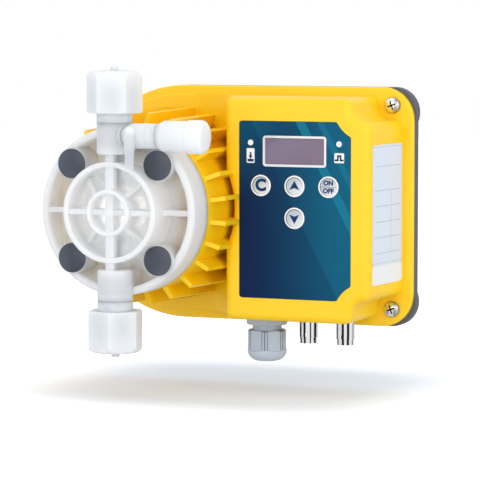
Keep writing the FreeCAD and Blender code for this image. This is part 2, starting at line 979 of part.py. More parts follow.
def rounded_rim(outer, inner, back, front, edge):
    """Ring about the head's axis with rounded front edges."""
    middle = edge * (1 - math.sqrt(0.5))
    start = at(inner, back, 0)
    edges = [Part.makeLine(at(outer, back, 0), start), Part.makeLine(start, at(inner, front - edge, 0))]
    edges.append(Part.Arc(at(inner, front - edge, 0), at(inner + middle, front - middle, 0),
                          at(inner + edge, front, 0)).toShape())
    if outer - inner > 2 * edge + same:
        edges.append(Part.makeLine(at(inner + edge, front, 0), at(outer - edge, front, 0)))
    edges.append(Part.Arc(at(outer - edge, front, 0), at(outer - middle, front - middle, 0),
                          at(outer, front - edge, 0)).toShape())
    edges.append(Part.makeLine(at(outer, front - edge, 0), at(outer, back, 0)))
    return Part.Face(Part.Wire(edges)).revolve(Vector(0, 0, 0), FORWARD, 360)


def neck_wall():
    """Wall that carries the upper neck on the head's floor."""
    return block(-neck_wall_half, neck_wall_half, head_floor_face - lap, valve_plane,
                 neck_start + neck_edge, head_radius - head_rim / 2)


def gussets():
    """Four sloping webs between the hub and the middle ring."""
    inner = hub_radius - lap
    outer = middle_ring_radius - lap
    outline = [
        at(inner, inner_floor_face - lap, 0), at(outer, inner_floor_face - lap, 0),
        at(outer, gusset_ring_face, 0), at(inner, gusset_hub_face, 0),
    ]
    plate = Part.Face(Part.makePolygon(outline + outline[:1]))
    plate.translate(Vector(0, 0, -gusset_thickness / 2))
    web = plate.extrude(UP * gusset_thickness)
    copies = []
    for step in range(4):
        copy = web.copy()
        copy.rotate(Vector(0, 0, 0), FORWARD, 45 + 90 * step)
        copies.append(copy)
    return copies


def bleed_port():
    return at(0, valve_plane, bleed_height)


def elbow_centre():
    return at(elbow_across, bleed_plane, bleed_height)


def bleed_seat():
    """Where the bleed valve meets the pad on the upper neck."""
    run = elbow_centre() - bleed_port()
    return bleed_port() + run.normalize() * (neck_radius + bleed_face_gap)


def elbow_and_arm():
    """Ball of the bleed elbow with the arm behind a fine groove, turned about the arm's axis."""
    start = at(0, bleed_plane, bleed_height)
    waist = elbow_across + elbow_radius * bleed_waist_share
    bend = elbow_radius * math.sqrt(0.5)
    far_left = start + ACROSS * (elbow_across - elbow_radius)
    middle = start + ACROSS * (elbow_across - bend) + UP * bend
    points = [
        start + ACROSS * elbow_across + UP * elbow_radius,
        start + ACROSS * (waist - bleed_arm_slope) + UP * elbow_radius,
        start + ACROSS * waist + UP * (elbow_radius - bleed_waist_depth),
        start + ACROSS * (waist + bleed_arm_slope) + UP * bleed_arm_radius,
        start + ACROSS * bleed_arm_end + UP * bleed_arm_radius,
        start + ACROSS * bleed_arm_end,
    ]
    edges = [Part.Arc(far_left, middle, points[0]).toShape()]
    edges += [Part.makeLine(a, b) for a, b in zip(points, points[1:])]
    edges.append(Part.makeLine(points[-1], far_left))
    return Part.Face(Part.Wire(edges)).revolve(start, ACROSS, 360)


def make_pump_head():
    inner_rim = head_radius - head_rim
    middle_bore = middle_ring_radius - middle_ring_wall
    pieces = [
        rounded_rim(head_radius, inner_rim, barrel_front, head_rim_face, rim_edge),
        rod(0, 0, head_radius - head_rim / 2, barrel_front, head_floor_face),
        rounded_rim(middle_ring_radius, middle_bore, head_floor_face - lap, middle_ring_face,
                    ring_edge),
        rod(0, 0, middle_ring_radius - lap, barrel_front, inner_floor_face),
        rounded_rim(hub_radius, hub_radius - hub_wall, inner_floor_face - lap, hub_face, hub_edge),
        rod(0, 0, hub_boss_radius, inner_floor_face - lap, upright_rib_face + lap),
        block(-upright_rib / 2, upright_rib / 2, head_floor_face - lap, upright_rib_face,
              -neck_start - 2 * lap, neck_start + 2 * lap),
        block(-upright_rib / 2, upright_rib / 2, head_floor_face - lap, valve_plane,
              -inner_rim - lap, inner_rim + lap),
        block(-middle_bore - lap, middle_bore + lap, inner_floor_face - lap, cross_rib_face,
              -cross_rib / 2, cross_rib / 2),
        block(-inner_rim - lap, inner_rim + lap, head_floor_face - lap, outer_rib_face,
              -cross_rib / 2, cross_rib / 2),
    ]
    pieces += gussets()
    for x, z in four_corners(boss_offset):
        pieces.append(rod(x, z, head_boss_radius, barrel_front, head_boss_face))
    neck = pillar(0, valve_plane, neck_radius, neck_start, port_face)
    foot = [edge for edge in neck.Edges if abs(edge.BoundBox.ZMax - neck_start) < same]
    neck = neck.makeChamfer(neck_edge, foot)
    pieces += [neck, upside_down(neck), neck_wall(), upside_down(neck_wall())]
    pieces.append(bar(bleed_port(), bleed_seat(), bleed_pad_radius))
    head = join(pieces)
    cuts = [
        rod(0, 0, diaphragm_radius + seat_clearance, barrel_front - lap, recess_floor),
        rod(0, 0, chamber_radius, barrel_front, chamber_front),
    ]
    for x, z in four_corners(boss_offset):
        cuts.append(rod(x, z, head_screw_radius + screw_clearance, barrel_front - lap, head_boss_face))
        cuts.append(rod(x, z, head_screw_head + head_screw_room, head_screw_face, head_boss_face + lap))
    socket = pillar(0, valve_plane, port_radius, port_floor, port_face + lap)
    channel = pillar(0, valve_plane, channel_radius, channel_offset - channel_radius, port_floor + lap)
    inlet = rod(0, channel_offset, inlet_radius, chamber_front - lap, valve_plane)
    for cut in (socket, channel, inlet):
        cuts += [cut, upside_down(cut)]
    cuts += [
        bar(bleed_port(), elbow_centre(), bleed_passage),
        bar(bleed_seat(), elbow_centre(), bleed_stub_radius),
        elbow_and_arm(),
        valve_cylinder(neck_radius, port_face, neck_end),
    ]
    for cut in cuts:
        head = head.cut(cut)
    return head.removeSplitter()


def make_head_screws():
    screws = []
    for x, z in four_corners(boss_offset):
        top = head_screw_face + head_screw_head_height
        head = rod(x, z, head_screw_head, head_screw_face, top)
        shank = rod(x, z, head_screw_radius, pole_front - head_screw_thread, head_screw_face + lap)
        key = hex_prism(head_key_flats, Vector(0, 0, 0), head_key_depth + lap)
        key.rotate(Vector(0, 0, 0), ACROSS, 90)
        key.translate(at(x, top - head_key_depth, z))
        screws.append(join([head, shank]).cut(key))
    return screws


def make_screw_caps():
    face = head_boss_face + cap_rim
    stem_radius = head_screw_head + cap_stem_gap
    outline = [(0, face + cap_dome), (0, head_boss_face - cap_stem_length),
               (stem_radius, head_boss_face - cap_stem_length), (stem_radius, head_boss_face),
               (cap_radius, head_boss_face)]
    for share in (1.0, 0.85, 0.6, 0.3):
        outline.append((cap_radius * share, face + cap_dome * (1 - share ** 2)))
    return [turned_forward(outline, x, z) for x, z in four_corners(boss_offset)]


def stop_slot(height):
    """Groove across the ball's upper stop, so that the liquid still passes the lifted ball."""
    return block(-cage_radius, cage_radius, valve_plane - stop_slot_half,
                 valve_plane + stop_slot_half, height, height + stop_slot_depth)


def valve_cylinder(radius, low, high):
    return pillar(0, valve_plane, radius, low, high)


def seat_to_stop():
    return ball_seat_drop + ball_gap + ball_radius + ball_lift + lift_clearance


def upper_seat_top():
    return port_floor + seal_height + seat_height


def lower_seat_top():
    return -(port_floor + seal_height + stop_roof) - seat_to_stop()


def ball_centre(seat_top):
    return seat_top + ball_seat_drop + ball_gap


def make_discharge_valve_body():
    low = port_floor + seal_height
    body = join([valve_cylinder(port_radius - running_clearance, low, port_face + lap),
                 valve_cylinder(neck_radius, port_face, neck_end)])
    stop = upper_seat_top() + seat_to_stop()
    cuts = [
        valve_cylinder(seat_radius + press_clearance, low - lap, low + seat_height),
        valve_cylinder(cage_radius, low, stop),
        valve_cylinder(outlet_radius, low, neck_end + lap),
        stop_slot(stop),
        bar(bleed_port(), bleed_seat(), bleed_passage),
    ]
    for cut in cuts:
        body = body.cut(cut)
    return body


def make_suction_valve_body():
    high = -(port_floor + seal_height)
    body = join([valve_cylinder(port_radius - running_clearance, -port_face - lap, high),
                 valve_cylinder(neck_radius, -neck_end, -port_face)])
    stop = lower_seat_top() + seat_to_stop()
    cuts = [
        valve_cylinder(outlet_radius, -neck_end, high + lap),
        valve_cylinder(cage_radius, lower_seat_top() - lap, stop),
        valve_cylinder(seat_radius + press_clearance, -neck_end - lap, lower_seat_top()),
        stop_slot(stop),
    ]
    for cut in cuts:
        body = body.cut(cut)
    return body


def make_valve_seats():
    top = upper_seat_top()
    upper = valve_cylinder(seat_radius, top - seat_height, top)
    low = lower_seat_top()
    lower = valve_cylinder(seat_radius, low - seat_height, low)
    seats = []
    for seat in (upper, lower):
        seats.append(seat.cut(valve_cylinder(seat_hole, -neck_end, neck_end)))
    return seats


def make_valve_seals():
    centre = at(0, valve_plane, port_floor + seal_height / 2)
    seal = ring(seal_radius, seal_height / 2, centre, UP)
    return [seal, upside_down(seal)]


def make_ball(height):
    return Part.makeSphere(ball_radius, at(0, valve_plane, height))


def upper_nozzle():
    seat = neck_end + nozzle_flange - nozzle_seat_recess
    barb = nozzle_tip - nozzle_barb
    outline = [
        (nozzle_bore, neck_end), (nozzle_flange_radius, neck_end),
        (nozzle_flange_radius, seat), (clamp_ring_bore, seat),
        (nozzle_radius, seat + nozzle_fillet), (nozzle_radius, barb - nozzle_barb_slope),
        (nozzle_tip_radius, barb), (nozzle_tip_radius, nozzle_tip - nozzle_point),
        (nozzle_tip_radius - nozzle_point, nozzle_tip), (nozzle_bore, nozzle_tip),
    ]
    return turned_up(outline, 0, valve_plane)


def make_tube_nozzles():
    nozzle = upper_nozzle()
    return [nozzle, upside_down(nozzle)]


def make_clamp_rings():
    low = neck_end + nozzle_flange - nozzle_seat_recess
    high = nut_top - nut_roof
    outline = [
        (clamp_ring_bore, low), (clamp_ring_radius, low), (clamp_ring_radius, high - clamp_ring_slope),
        (clamp_ring_radius - clamp_ring_slope, high), (clamp_ring_bore, high),
    ]
    clamp = turned_up(outline, 0, valve_plane)
    return [clamp, upside_down(clamp)]


def upper_nut():
    """Six-sided union nut with a rounded crown."""
    centre = at(0, valve_plane, nut_start)
    height = nut_top - nut_start
    prism = hex_prism(nut_across_flats, centre, height, nut_turn)
    prism = prism.makeFillet(nut_edge, upright_edges(prism))
    corner = nut_across_flats / math.sqrt(3)
    start = at(0, valve_plane, 0)
    points = [(0, nut_top), (0, nut_start), (corner - nut_foot_edge, nut_start),
              (corner, nut_start + nut_foot_edge), (corner, nut_top - nut_face_edge - nut_crown)]
    places = [start + ACROSS * r + UP * z for r, z in points]
    edges = [Part.makeLine(a, b) for a, b in zip(places, places[1:])]
    bend = nut_crown * (1 - math.sqrt(0.5))
    inner = corner - nut_crown
    shoulder = start + ACROSS * inner + UP * (nut_top - nut_face_edge)
    middle = start + ACROSS * (corner - bend) + UP * (nut_top - nut_face_edge - bend)
    edges.append(Part.Arc(places[-1], middle, shoulder).toShape())
    edges.append(Part.makeLine(shoulder, places[0]))
    crown = Part.Face(Part.Wire(edges)).revolve(start, UP, 360)
    nut = prism.common(crown)
    nut = nut.cut(valve_cylinder(neck_radius + running_clearance, nut_start - lap,
                                 neck_end + nozzle_flange))
    nut = nut.cut(valve_cylinder(clamp_ring_radius + clamp_room, nut_start, nut_top - nut_roof))
    return nut.cut(valve_cylinder(nut_hole, nut_start, nut_top + lap))


def make_bleed_body():
    """Elbow, arm, the stub towards the neck, and the spout on a round boss in front."""
    crown = bleed_height + spout_root_half
    spout_top = at(spout_across, spout_plane, bleed_height)
    spout_points = [
        (0, crown), (spout_root, crown), (spout_root, bleed_height - spout_root_half),
        (spout_radius + spout_waist, bleed_height - spout_waist_drop),
        (spout_radius, spout_end + spout_straight),
        (spout_radius, spout_end), (0, spout_end),
    ]
    pieces = [
        elbow_and_arm(),
        bar(bleed_seat(), elbow_centre(), bleed_stub_radius),
        bar(elbow_centre(), spout_top, spout_root),
        turned_up(spout_points, spout_across, spout_plane),
        Part.makeSphere(spout_root, at(spout_across, spout_plane, crown)),
    ]
    body = join(pieces)
    cuts = [
        bar(bleed_port(), elbow_centre(), bleed_passage),
        beam(bleed_plane, bleed_height, bleed_stem_radius + running_clearance,
             elbow_across + bleed_stem_tip - lap, bleed_arm_end + lap),
        beam(bleed_plane, bleed_height, bleed_passage, elbow_across - bleed_passage,
             elbow_across + bleed_stem_tip),
        pillar(spout_across, spout_plane, bleed_passage, spout_end - lap, bleed_height),
        bar(elbow_centre(), spout_top, bleed_passage),
        Part.makeSphere(bleed_passage, spout_top),
    ]
    for cut in cuts:
        body = body.cut(cut)
    return body


def make_bleed_stem():
    tip = elbow_across + bleed_stem_tip
    groove = bleed_arm_end - bleed_groove
    groove_floor = bleed_stem_radius - bleed_groove_depth
    end = bleed_arm_end + bleed_stem_reach
    outline = [
        (0, tip), (bleed_passage, tip), (bleed_stem_radius, tip + bleed_stem_point),
        (bleed_stem_radius, groove - bleed_groove_half), (groove_floor, groove - bleed_groove_half),
        (groove_floor, groove + bleed_groove_half), (bleed_stem_radius, groove + bleed_groove_half),
        (bleed_stem_radius, end), (0, end),
    ]
    return turned_across(outline, bleed_plane, bleed_height)


def make_bleed_seal():
    bore = bleed_stem_radius - bleed_groove_depth + press_clearance
    middle = bleed_arm_end - bleed_groove
    outline = [
        (bore, middle - bleed_seal_half), (bleed_stem_radius, middle - bleed_seal_half),
        (bleed_stem_radius, middle + bleed_seal_half), (bore, middle + bleed_seal_half),
    ]
    return turned_across(outline, bleed_plane, bleed_height)


def make_bleed_knob():
    start = at(0, bleed_plane, bleed_height)
    inner = bleed_stem_radius + press_clearance
    cup = bleed_arm_end + bleed_stem_reach + seat_clearance
    points = [(0, knob_end), (0, cup), (inner, cup), (inner, knob_start), (knob_neck, knob_start),
              (knob_waist, knob_start + knob_foot),
              (knob_waist + knob_draft, knob_step - knob_step_slope),
              (knob_radius, knob_step), (knob_radius, knob_end - knob_edge)]
    places = [start + UP * r + ACROSS * x for r, x in points]
    edges = [Part.makeLine(a, b) for a, b in zip(places, places[1:])]
    bend = knob_edge * (1 - math.sqrt(0.5))
    middle = start + UP * (knob_radius - bend) + ACROSS * (knob_end - bend)
    rim = start + UP * (knob_radius - knob_edge) + ACROSS * knob_end
    edges.append(Part.Arc(places[-1], middle, rim).toShape())
    edges.append(Part.makeLine(rim, places[0]))
    return Part.Face(Part.Wire(edges)).revolve(start, ACROSS, 360)


def make_control_panel():
    inset = panel_clearance
    wire = notched_wire(panel_back, panel_left + inset, panel_right - inset, panel_half - inset,
                        panel_corner_cut + inset, panel_corner)
    sheet = slab(wire, panel_thickness)
    sheet = sheet.cut(display_block(-seat_clearance, panel_back - lap, block_front + lap))
    for x, z in control_places().values():
        sheet = sheet.cut(rod(x, z, button_radius + seat_clearance, panel_back - lap, block_front + lap))
    for x, z in lamp_places():
        sheet = sheet.cut(rod(x, z, lamp_radius + seat_clearance, panel_back - lap, block_front + lap))
    return sheet


def make_display_bezel():
    frame = display_block(0, panel_back, block_front + bezel_proud)
    return frame.cut(display_block(display_border, panel_back - lap, block_front + lap))


def make_display_window():
    return display_block(display_lip, block_inner, panel_back)


def make_display_module():
    return display_block(display_lip, board_front, block_inner)


def make_status_lamps():
    lamps = []
    for x, z in lamp_places():
        stem = rod(x, z, lamp_radius, board_front, block_front + lamp_proud)
        foot = rod(x, z, lamp_radius + lamp_foot, board_front, board_front + lamp_foot_height)
        lamps.append(join([stem, foot]))
    return lamps


def make_button(place):
    x, z = place
    front = block_front + button_proud
    flange_front_face = block_inner - button_flange_gap
    flange_back = flange_front_face - button_flange_height
    cap = rod(x, z, button_radius, flange_back, front)
    cap = cap.makeFillet(button_edge, front_edges(cap, front))
    cap = cap.cut(rod(x, z, button_radius - button_rim, front - button_dish, front + lap))
    flange = rod(x, z, button_radius + button_flange, flange_back, flange_front_face)
    stem_end = board_front + switch_height + button_travel + switch_gap
    stem = rod(x, z, button_stem, stem_end, flange_back + button_flange_height)
    return join([cap, flange, stem])


def make_circuit_board():
    left = panel_left + board_margin
    right = panel_right - board_margin
    half = panel_half - board_margin
    board = block(left, right, board_back, board_front, -half, half)
    for x, z in board_posts():
        board = board.cut(rod(x, z, board_screw_radius + screw_clearance, board_back - lap,
                              board_front + lap))
    return board


def make_key_switches():
    half = switch_size / 2
    return [block(x - half, x + half, board_front, board_front + switch_height, z - half, z + half)
            for x, z in control_places().values()]


def make_board_screws():
    screws = []
    for x, z in board_posts():
        head = rod(x, z, board_screw_radius * 2, board_back - board_screw_head_height, board_back)
        shank = rod(x, z, board_screw_radius, board_back - lap, board_front + board_screw_reach)
        screws.append(join([head, shank]))
    return screws


def make_transformer():
    left = panel_left + transformer_inset
    right = left + transformer_width
    back = board_back - transformer_depth
    core = block(left, right, back, board_back, transformer_low, transformer_high)
    winding = block(left + transformer_rim, right - transformer_rim, back - transformer_winding_proud,
                    board_back, transformer_low + transformer_rim, transformer_high - transformer_rim)
    winding = winding.makeFillet(transformer_winding_proud * 0.9, upright_edges(winding))
    return join([core, winding])


def make_terminal_block():
    low = -panel_half + board_margin + terminal_lift
    left = panel_left + terminal_inset
    back = board_back - terminal_depth
    body = block(left, left + terminal_count * terminal_pitch, back, board_back, low,
                 low + terminal_height)
    for step in range(terminal_count):
        x = left + terminal_pitch * (step + 0.5)
        body = body.cut(rod(x, low + terminal_height / 2, terminal_hole, back - lap,
                            back + terminal_hole_depth))
    return body


def side_wall_x(depth):
    """Where the block's right wall lies at a depth."""
    share = (block_front - depth) / (block_front - flange_front)
    return block_face_right + block_side_slope * share


def side_plate(low, high, back, front, thickness):
    rise = math.hypot(block_side_slope, block_front - flange_front)
    outward = Vector((block_front - flange_front) / rise, -block_side_slope / rise, 0) * thickness
    first = at(side_wall_x(back), back, low)
    second = at(side_wall_x(front), front, low)
    corners = [first, second, second + outward, first + outward]
    plate = Part.Face(Part.makePolygon(corners + corners[:1])).extrude(UP * (high - low))
    ends = [edge for edge in plate.Edges if abs(edge.Length - thickness) < same]
    return plate.makeFillet(label_corner, ends)


def make_rating_label():
    return side_plate(label_bottom, label_top, label_back, label_front, label_thickness)


def make_serial_sticker():
    return side_plate(sticker_bottom, label_bottom - label_gap, label_back, label_front,
                      label_thickness)


def make_gland_body():
    seat = -gland_seat
    foot = seat - gland_collar
    thread_top = seat + gland_thread_length
    collar = hex_prism(gland_hex, at(gland_across, socket_depth, foot), gland_collar, gland_turn)
    rim = turned_up([(0, seat), (gland_collar_round, seat),
                     (gland_collar_round, foot + gland_collar_edge),
                     (gland_collar_round - gland_collar_edge, foot), (0, foot)],
                    gland_across, socket_depth)
    pieces = [
        collar.common(rim),
        pillar(gland_across, socket_depth, gland_neck_radius, -gland_neck_end, seat - lap),
        pillar(gland_across, socket_depth, gland_thread - seat_clearance, seat - lap, thread_top),
    ]
    body = join(pieces)
    return body.cut(pillar(gland_across, socket_depth, gland_bore, -gland_neck_end - lap,
                           thread_top + lap))


def make_gland_locknut():
    low = -gland_seat + block_wall
    nut = hex_prism(gland_hex, at(gland_across, socket_depth, low), locknut_height)
    return nut.cut(pillar(gland_across, socket_depth, gland_thread - thread_clearance, low - lap,
                          low + locknut_height + lap))


def make_gland_seal():
    low = -gland_neck_end - gland_seal_proud
    radius = gland_bore - gland_seal_gap
    sleeve = pillar(gland_across, socket_depth, radius, low, low + gland_seal_length)
    return sleeve.cut(pillar(gland_across, socket_depth, gland_seal_bore, low - lap,
                             low + gland_seal_length + lap))


def make_gland_nut():
    start = at(gland_across, socket_depth, 0)
    dome = gland_nut_end - gland_nut_shoulder
    bend = dome * math.sqrt(0.5)
    rim = gland_nut_radius - dome
    points = [(0, -gland_nut_end), (0, -gland_nut_top),
              (gland_nut_radius - gland_foot_edge, -gland_nut_top),
              (gland_nut_radius, -gland_nut_top - gland_foot_edge),
              (gland_nut_radius, -gland_nut_shoulder)]
    places = [start + ACROSS * r + UP * z for r, z in points]
    edges = [Part.makeLine(a, b) for a, b in zip(places, places[1:])]
    middle = start + ACROSS * (rim + bend) + UP * (-gland_nut_shoulder - bend)
    foot = start + ACROSS * rim + UP * -gland_nut_end
    edges.append(Part.Arc(places[-1], middle, foot).toShape())
    edges.append(Part.makeLine(foot, places[0]))
    nut = Part.Face(Part.Wire(edges)).revolve(start, UP, 360)
    span = gland_nut_shoulder - gland_nut_top
    flats = hex_prism(2 * gland_nut_flat, at(gland_across, socket_depth, -gland_nut_shoulder),
                      span + lap, gland_turn)
    below = pillar(gland_across, socket_depth, gland_nut_radius, -gland_nut_end - lap,
                   -gland_nut_shoulder)
    nut = nut.common(join([flats, below]))
    groove_circle = gland_nut_radius + gland_groove_centre
    for step in range(6):
        for side in (-1, 0, 1):
            angle = math.radians(gland_turn + 60 * step + gland_groove_step * side)
            x = gland_across + groove_circle * math.sin(angle)
            depth = socket_depth + groove_circle * math.cos(angle)
            nut = nut.cut(pillar(x, depth, gland_groove_radius,
                                 -gland_nut_shoulder + gland_groove_start, -gland_nut_top + lap))
    cuts = [
        pillar(gland_across, socket_depth, gland_neck_radius + running_clearance,
               -gland_neck_end - gland_cup_room, 0),
        pillar(gland_across, socket_depth, gland_bore + gland_cup_room,
               -gland_nut_end + gland_cup_roof, 0),
        pillar(gland_across, socket_depth, gland_mouth, -gland_nut_end - lap, 0),
    ]
    for cut in cuts:
        nut = nut.cut(cut)
    return nut


def bnc_places():
    return [bnc_first + step * bnc_pitch for step in range(2)]


def make_bnc_shells():
    shells = []
    seat = -block_half
    top = seat + block_wall + bnc_pad + bnc_tail
    lug_reach = bnc_radius + bnc_lug_reach
    for x in bnc_places():
        pieces = [
            pillar(x, socket_depth, bnc_nose_radius, -bnc_end, seat),
            pillar(x, socket_depth, bnc_radius, -bnc_end + bnc_nose_length, seat),
            pillar(x, socket_depth, bnc_flange, seat - bnc_washer, seat),
            pillar(x, socket_depth, bnc_thread, seat - bnc_washer, top),
            rod(x, -bnc_lug_height, bnc_lug_radius, socket_depth - lug_reach, socket_depth + lug_reach),
        ]
        shell = join(pieces)
        shells.append(shell.cut(pillar(x, socket_depth, bnc_bore, -bnc_end - lap, top + lap)))
    return shells


def make_bnc_insulators():
    insulators = []
    top = -block_half + block_wall + bnc_pad + bnc_tail
    for x in bnc_places():
        seat = pillar(x, socket_depth, bnc_bore - thread_clearance, -block_half - bnc_core_seat, top)
        core = pillar(x, socket_depth, bnc_core_radius, -bnc_end + bnc_core_recess, -block_half)
        core = join([seat, core])
        insulators.append(core.cut(pillar(x, socket_depth, bnc_core_bore, -bnc_end, top + lap)))
    return insulators


def make_bnc_contacts():
    contacts = []
    tip = -bnc_end + bnc_core_recess + bnc_contact_gap
    top = -block_half + block_wall + bnc_pad + bnc_tail + bnc_contact_tail
    for x in bnc_places():
        pin = pillar(x, socket_depth, bnc_contact_radius, tip, top)
        contacts.append(pin.cut(pillar(x, socket_depth, bnc_contact_bore, tip - lap,
                                  tip + bnc_contact_depth)))
    return contacts


def make_bnc_nuts():
    nuts = []
    low = -block_half + block_wall + bnc_pad
    for x in bnc_places():
        nut = hex_prism(bnc_nut_flats, at(x, socket_depth, low), bnc_nut_height)
        nuts.append(nut.cut(pillar(x, socket_depth, bnc_thread + thread_clearance, low - lap,
                                   low + bnc_nut_height + lap)))
    return nuts


def make_all():
    pieces = {
        "cover": make_cover(),
        "back_plate": make_back_plate(),
        "housing_gasket": make_housing_gasket(),
        "wall_inserts": make_wall_inserts(),
        "cover_screws": make_cover_screws(),
        "magnet_screws": make_magnet_screws(),
        "magnet_yoke": make_magnet_yoke(),
        "pole_plate": make_pole_plate(),
        "coil_bobbin": make_coil_bobbin(),
        "coil_winding": make_coil_winding(),
        "armature": make_armature(),
        "plunger_shaft": make_plunger_shaft(),
        "shaft_bushes": make_shaft_bushes(),
        "return_spring": make_return_spring(),
        "backing_disc": make_backing_disc(),
        "shaft_seal": make_shaft_seal(),
        "diaphragm_insert": make_diaphragm_insert(),
        "diaphragm": make_diaphragm(),
        "pump_head": make_pump_head(),
        "head_screws": make_head_screws(),
        "screw_caps": make_screw_caps(),
        "discharge_valve_body": make_discharge_valve_body(),
        "suction_valve_body": make_suction_valve_body(),
        "valve_seats": make_valve_seats(),
        "valve_seals": make_valve_seals(),
        "discharge_ball": make_ball(ball_centre(upper_seat_top())),
        "suction_ball": make_ball(ball_centre(lower_seat_top())),
        "tube_nozzles": make_tube_nozzles(),
        "clamp_rings": make_clamp_rings(),
        "discharge_nut": upper_nut(),
        "suction_nut": upside_down(upper_nut()),
        "bleed_body": make_bleed_body(),
        "bleed_stem": make_bleed_stem(),
        "bleed_seal": make_bleed_seal(),
        "bleed_knob": make_bleed_knob(),
        "control_panel": make_control_panel(),
        "display_bezel": make_display_bezel(),
        "display_window": make_display_window(),
        "display_module": make_display_module(),
        "status_lamps": make_status_lamps(),
        "circuit_board": make_circuit_board(),
        "key_switches": make_key_switches(),
        "board_screws": make_board_screws(),
        "transformer": make_transformer(),
        "terminal_block": make_terminal_block(),
        "rating_label": make_rating_label(),
        "serial_sticker": make_serial_sticker(),
        "gland_body": make_gland_body(),
        "gland_locknut": make_gland_locknut(),
        "gland_seal": make_gland_seal(),
        "gland_nut": make_gland_nut(),
        "bnc_shells": make_bnc_shells(),
        "bnc_insulators": make_bnc_insulators(),
        "bnc_contacts": make_bnc_contacts(),
        "bnc_nuts": make_bnc_nuts(),
    }
    for name, place in control_places().items():
        pieces[name] = make_button(place)
    return pieces


def save(name, piece):
    shape = Part.makeCompound(piece) if isinstance(piece, list) else piece
    count = len(piece) if isinstance(piece, list) else 1
    print(name, "solids", len(shape.Solids), "of", count, "valid", shape.isValid(),
          "volume", round(shape.Volume, 1))
    shape.exportStep("parts/" + name + ".step")


for piece_name, piece_shape in make_all().items():
    save(piece_name, piece_shape)
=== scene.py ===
import math

import bpy
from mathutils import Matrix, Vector


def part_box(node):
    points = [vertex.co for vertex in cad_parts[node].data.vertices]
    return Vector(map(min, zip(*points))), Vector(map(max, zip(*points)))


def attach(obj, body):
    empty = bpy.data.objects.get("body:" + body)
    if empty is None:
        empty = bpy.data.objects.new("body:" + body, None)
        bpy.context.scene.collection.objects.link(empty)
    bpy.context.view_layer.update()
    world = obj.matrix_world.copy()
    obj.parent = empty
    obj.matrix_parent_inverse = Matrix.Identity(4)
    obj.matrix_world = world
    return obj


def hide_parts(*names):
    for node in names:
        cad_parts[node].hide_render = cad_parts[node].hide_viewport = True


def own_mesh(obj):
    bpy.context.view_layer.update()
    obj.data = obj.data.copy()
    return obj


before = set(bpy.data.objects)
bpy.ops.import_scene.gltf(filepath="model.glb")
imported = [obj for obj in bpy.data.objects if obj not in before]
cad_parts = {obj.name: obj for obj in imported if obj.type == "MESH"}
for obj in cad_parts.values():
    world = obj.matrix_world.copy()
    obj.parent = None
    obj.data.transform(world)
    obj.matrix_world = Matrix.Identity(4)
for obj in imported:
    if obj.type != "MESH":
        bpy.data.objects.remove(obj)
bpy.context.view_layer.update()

mm = 0.001
print("frame loaded:", len(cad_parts), "nodes")


# Shader maths: a socket that adds, subtracts, multiplies and divides like a number
class Socket:
    def __init__(self, nodes, output):
        self.nodes = nodes
        self.output = output

    def math(self, operation, first, second=0.0):
        return self.nodes.node("Math", {"operation": operation}, {0: first, 1: second})

    def __add__(self, other):
        return self.math("ADD", self, other)

    def __radd__(self, other):
        return self.math("ADD", other, self)

    def __sub__(self, other):
        return self.math("SUBTRACT", self, other)

    def __rsub__(self, other):
        return self.math("SUBTRACT", other, self)

    def __mul__(self, other):
        return self.math("MULTIPLY", self, other)

    def __rmul__(self, other):
        return self.math("MULTIPLY", other, self)

    def __truediv__(self, other):
        return self.math("DIVIDE", self, other)

    def __pow__(self, other):
        return self.math("POWER", self, other)

    def __abs__(self):
        return self.math("ABSOLUTE", self)

    def angle(self, front):  # turn of a point about an upright axis, from straight in front
        return self.math("ARCTAN2", self, front)

    def sine(self):
        return self.math("SINE", self)

    def larger(self, other):
        return self.math("MAXIMUM", self, other)

    def ramp(self, low, high):  # 0 below low, 1 above high, smooth between
        settings = {"interpolation_type": "SMOOTHSTEP"}
        return self.nodes.node("MapRange", settings, {0: self, 1: low, 2: high, 3: 0.0, 4: 1.0})

    def band(self, low, high, soft):  # 1 from low to high, each edge as wide as soft
        return self.ramp(low, low + soft) * (1 - self.ramp(high, high + soft))


class Nodes:
    def __init__(self, tree):
        self.tree = tree

    def node(self, kind, settings, inputs, output=0):
        made = self.tree.nodes.new("ShaderNode" + kind)
        for name, value in settings.items():
            setattr(made, name, value)
        for key, value in inputs.items():
            self.feed(made.inputs[key], value)
        return Socket(self, made.outputs[output])

    def feed(self, target, value):
        if isinstance(value, Socket):
            self.tree.links.new(value.output, target)
        else:
            target.default_value = value


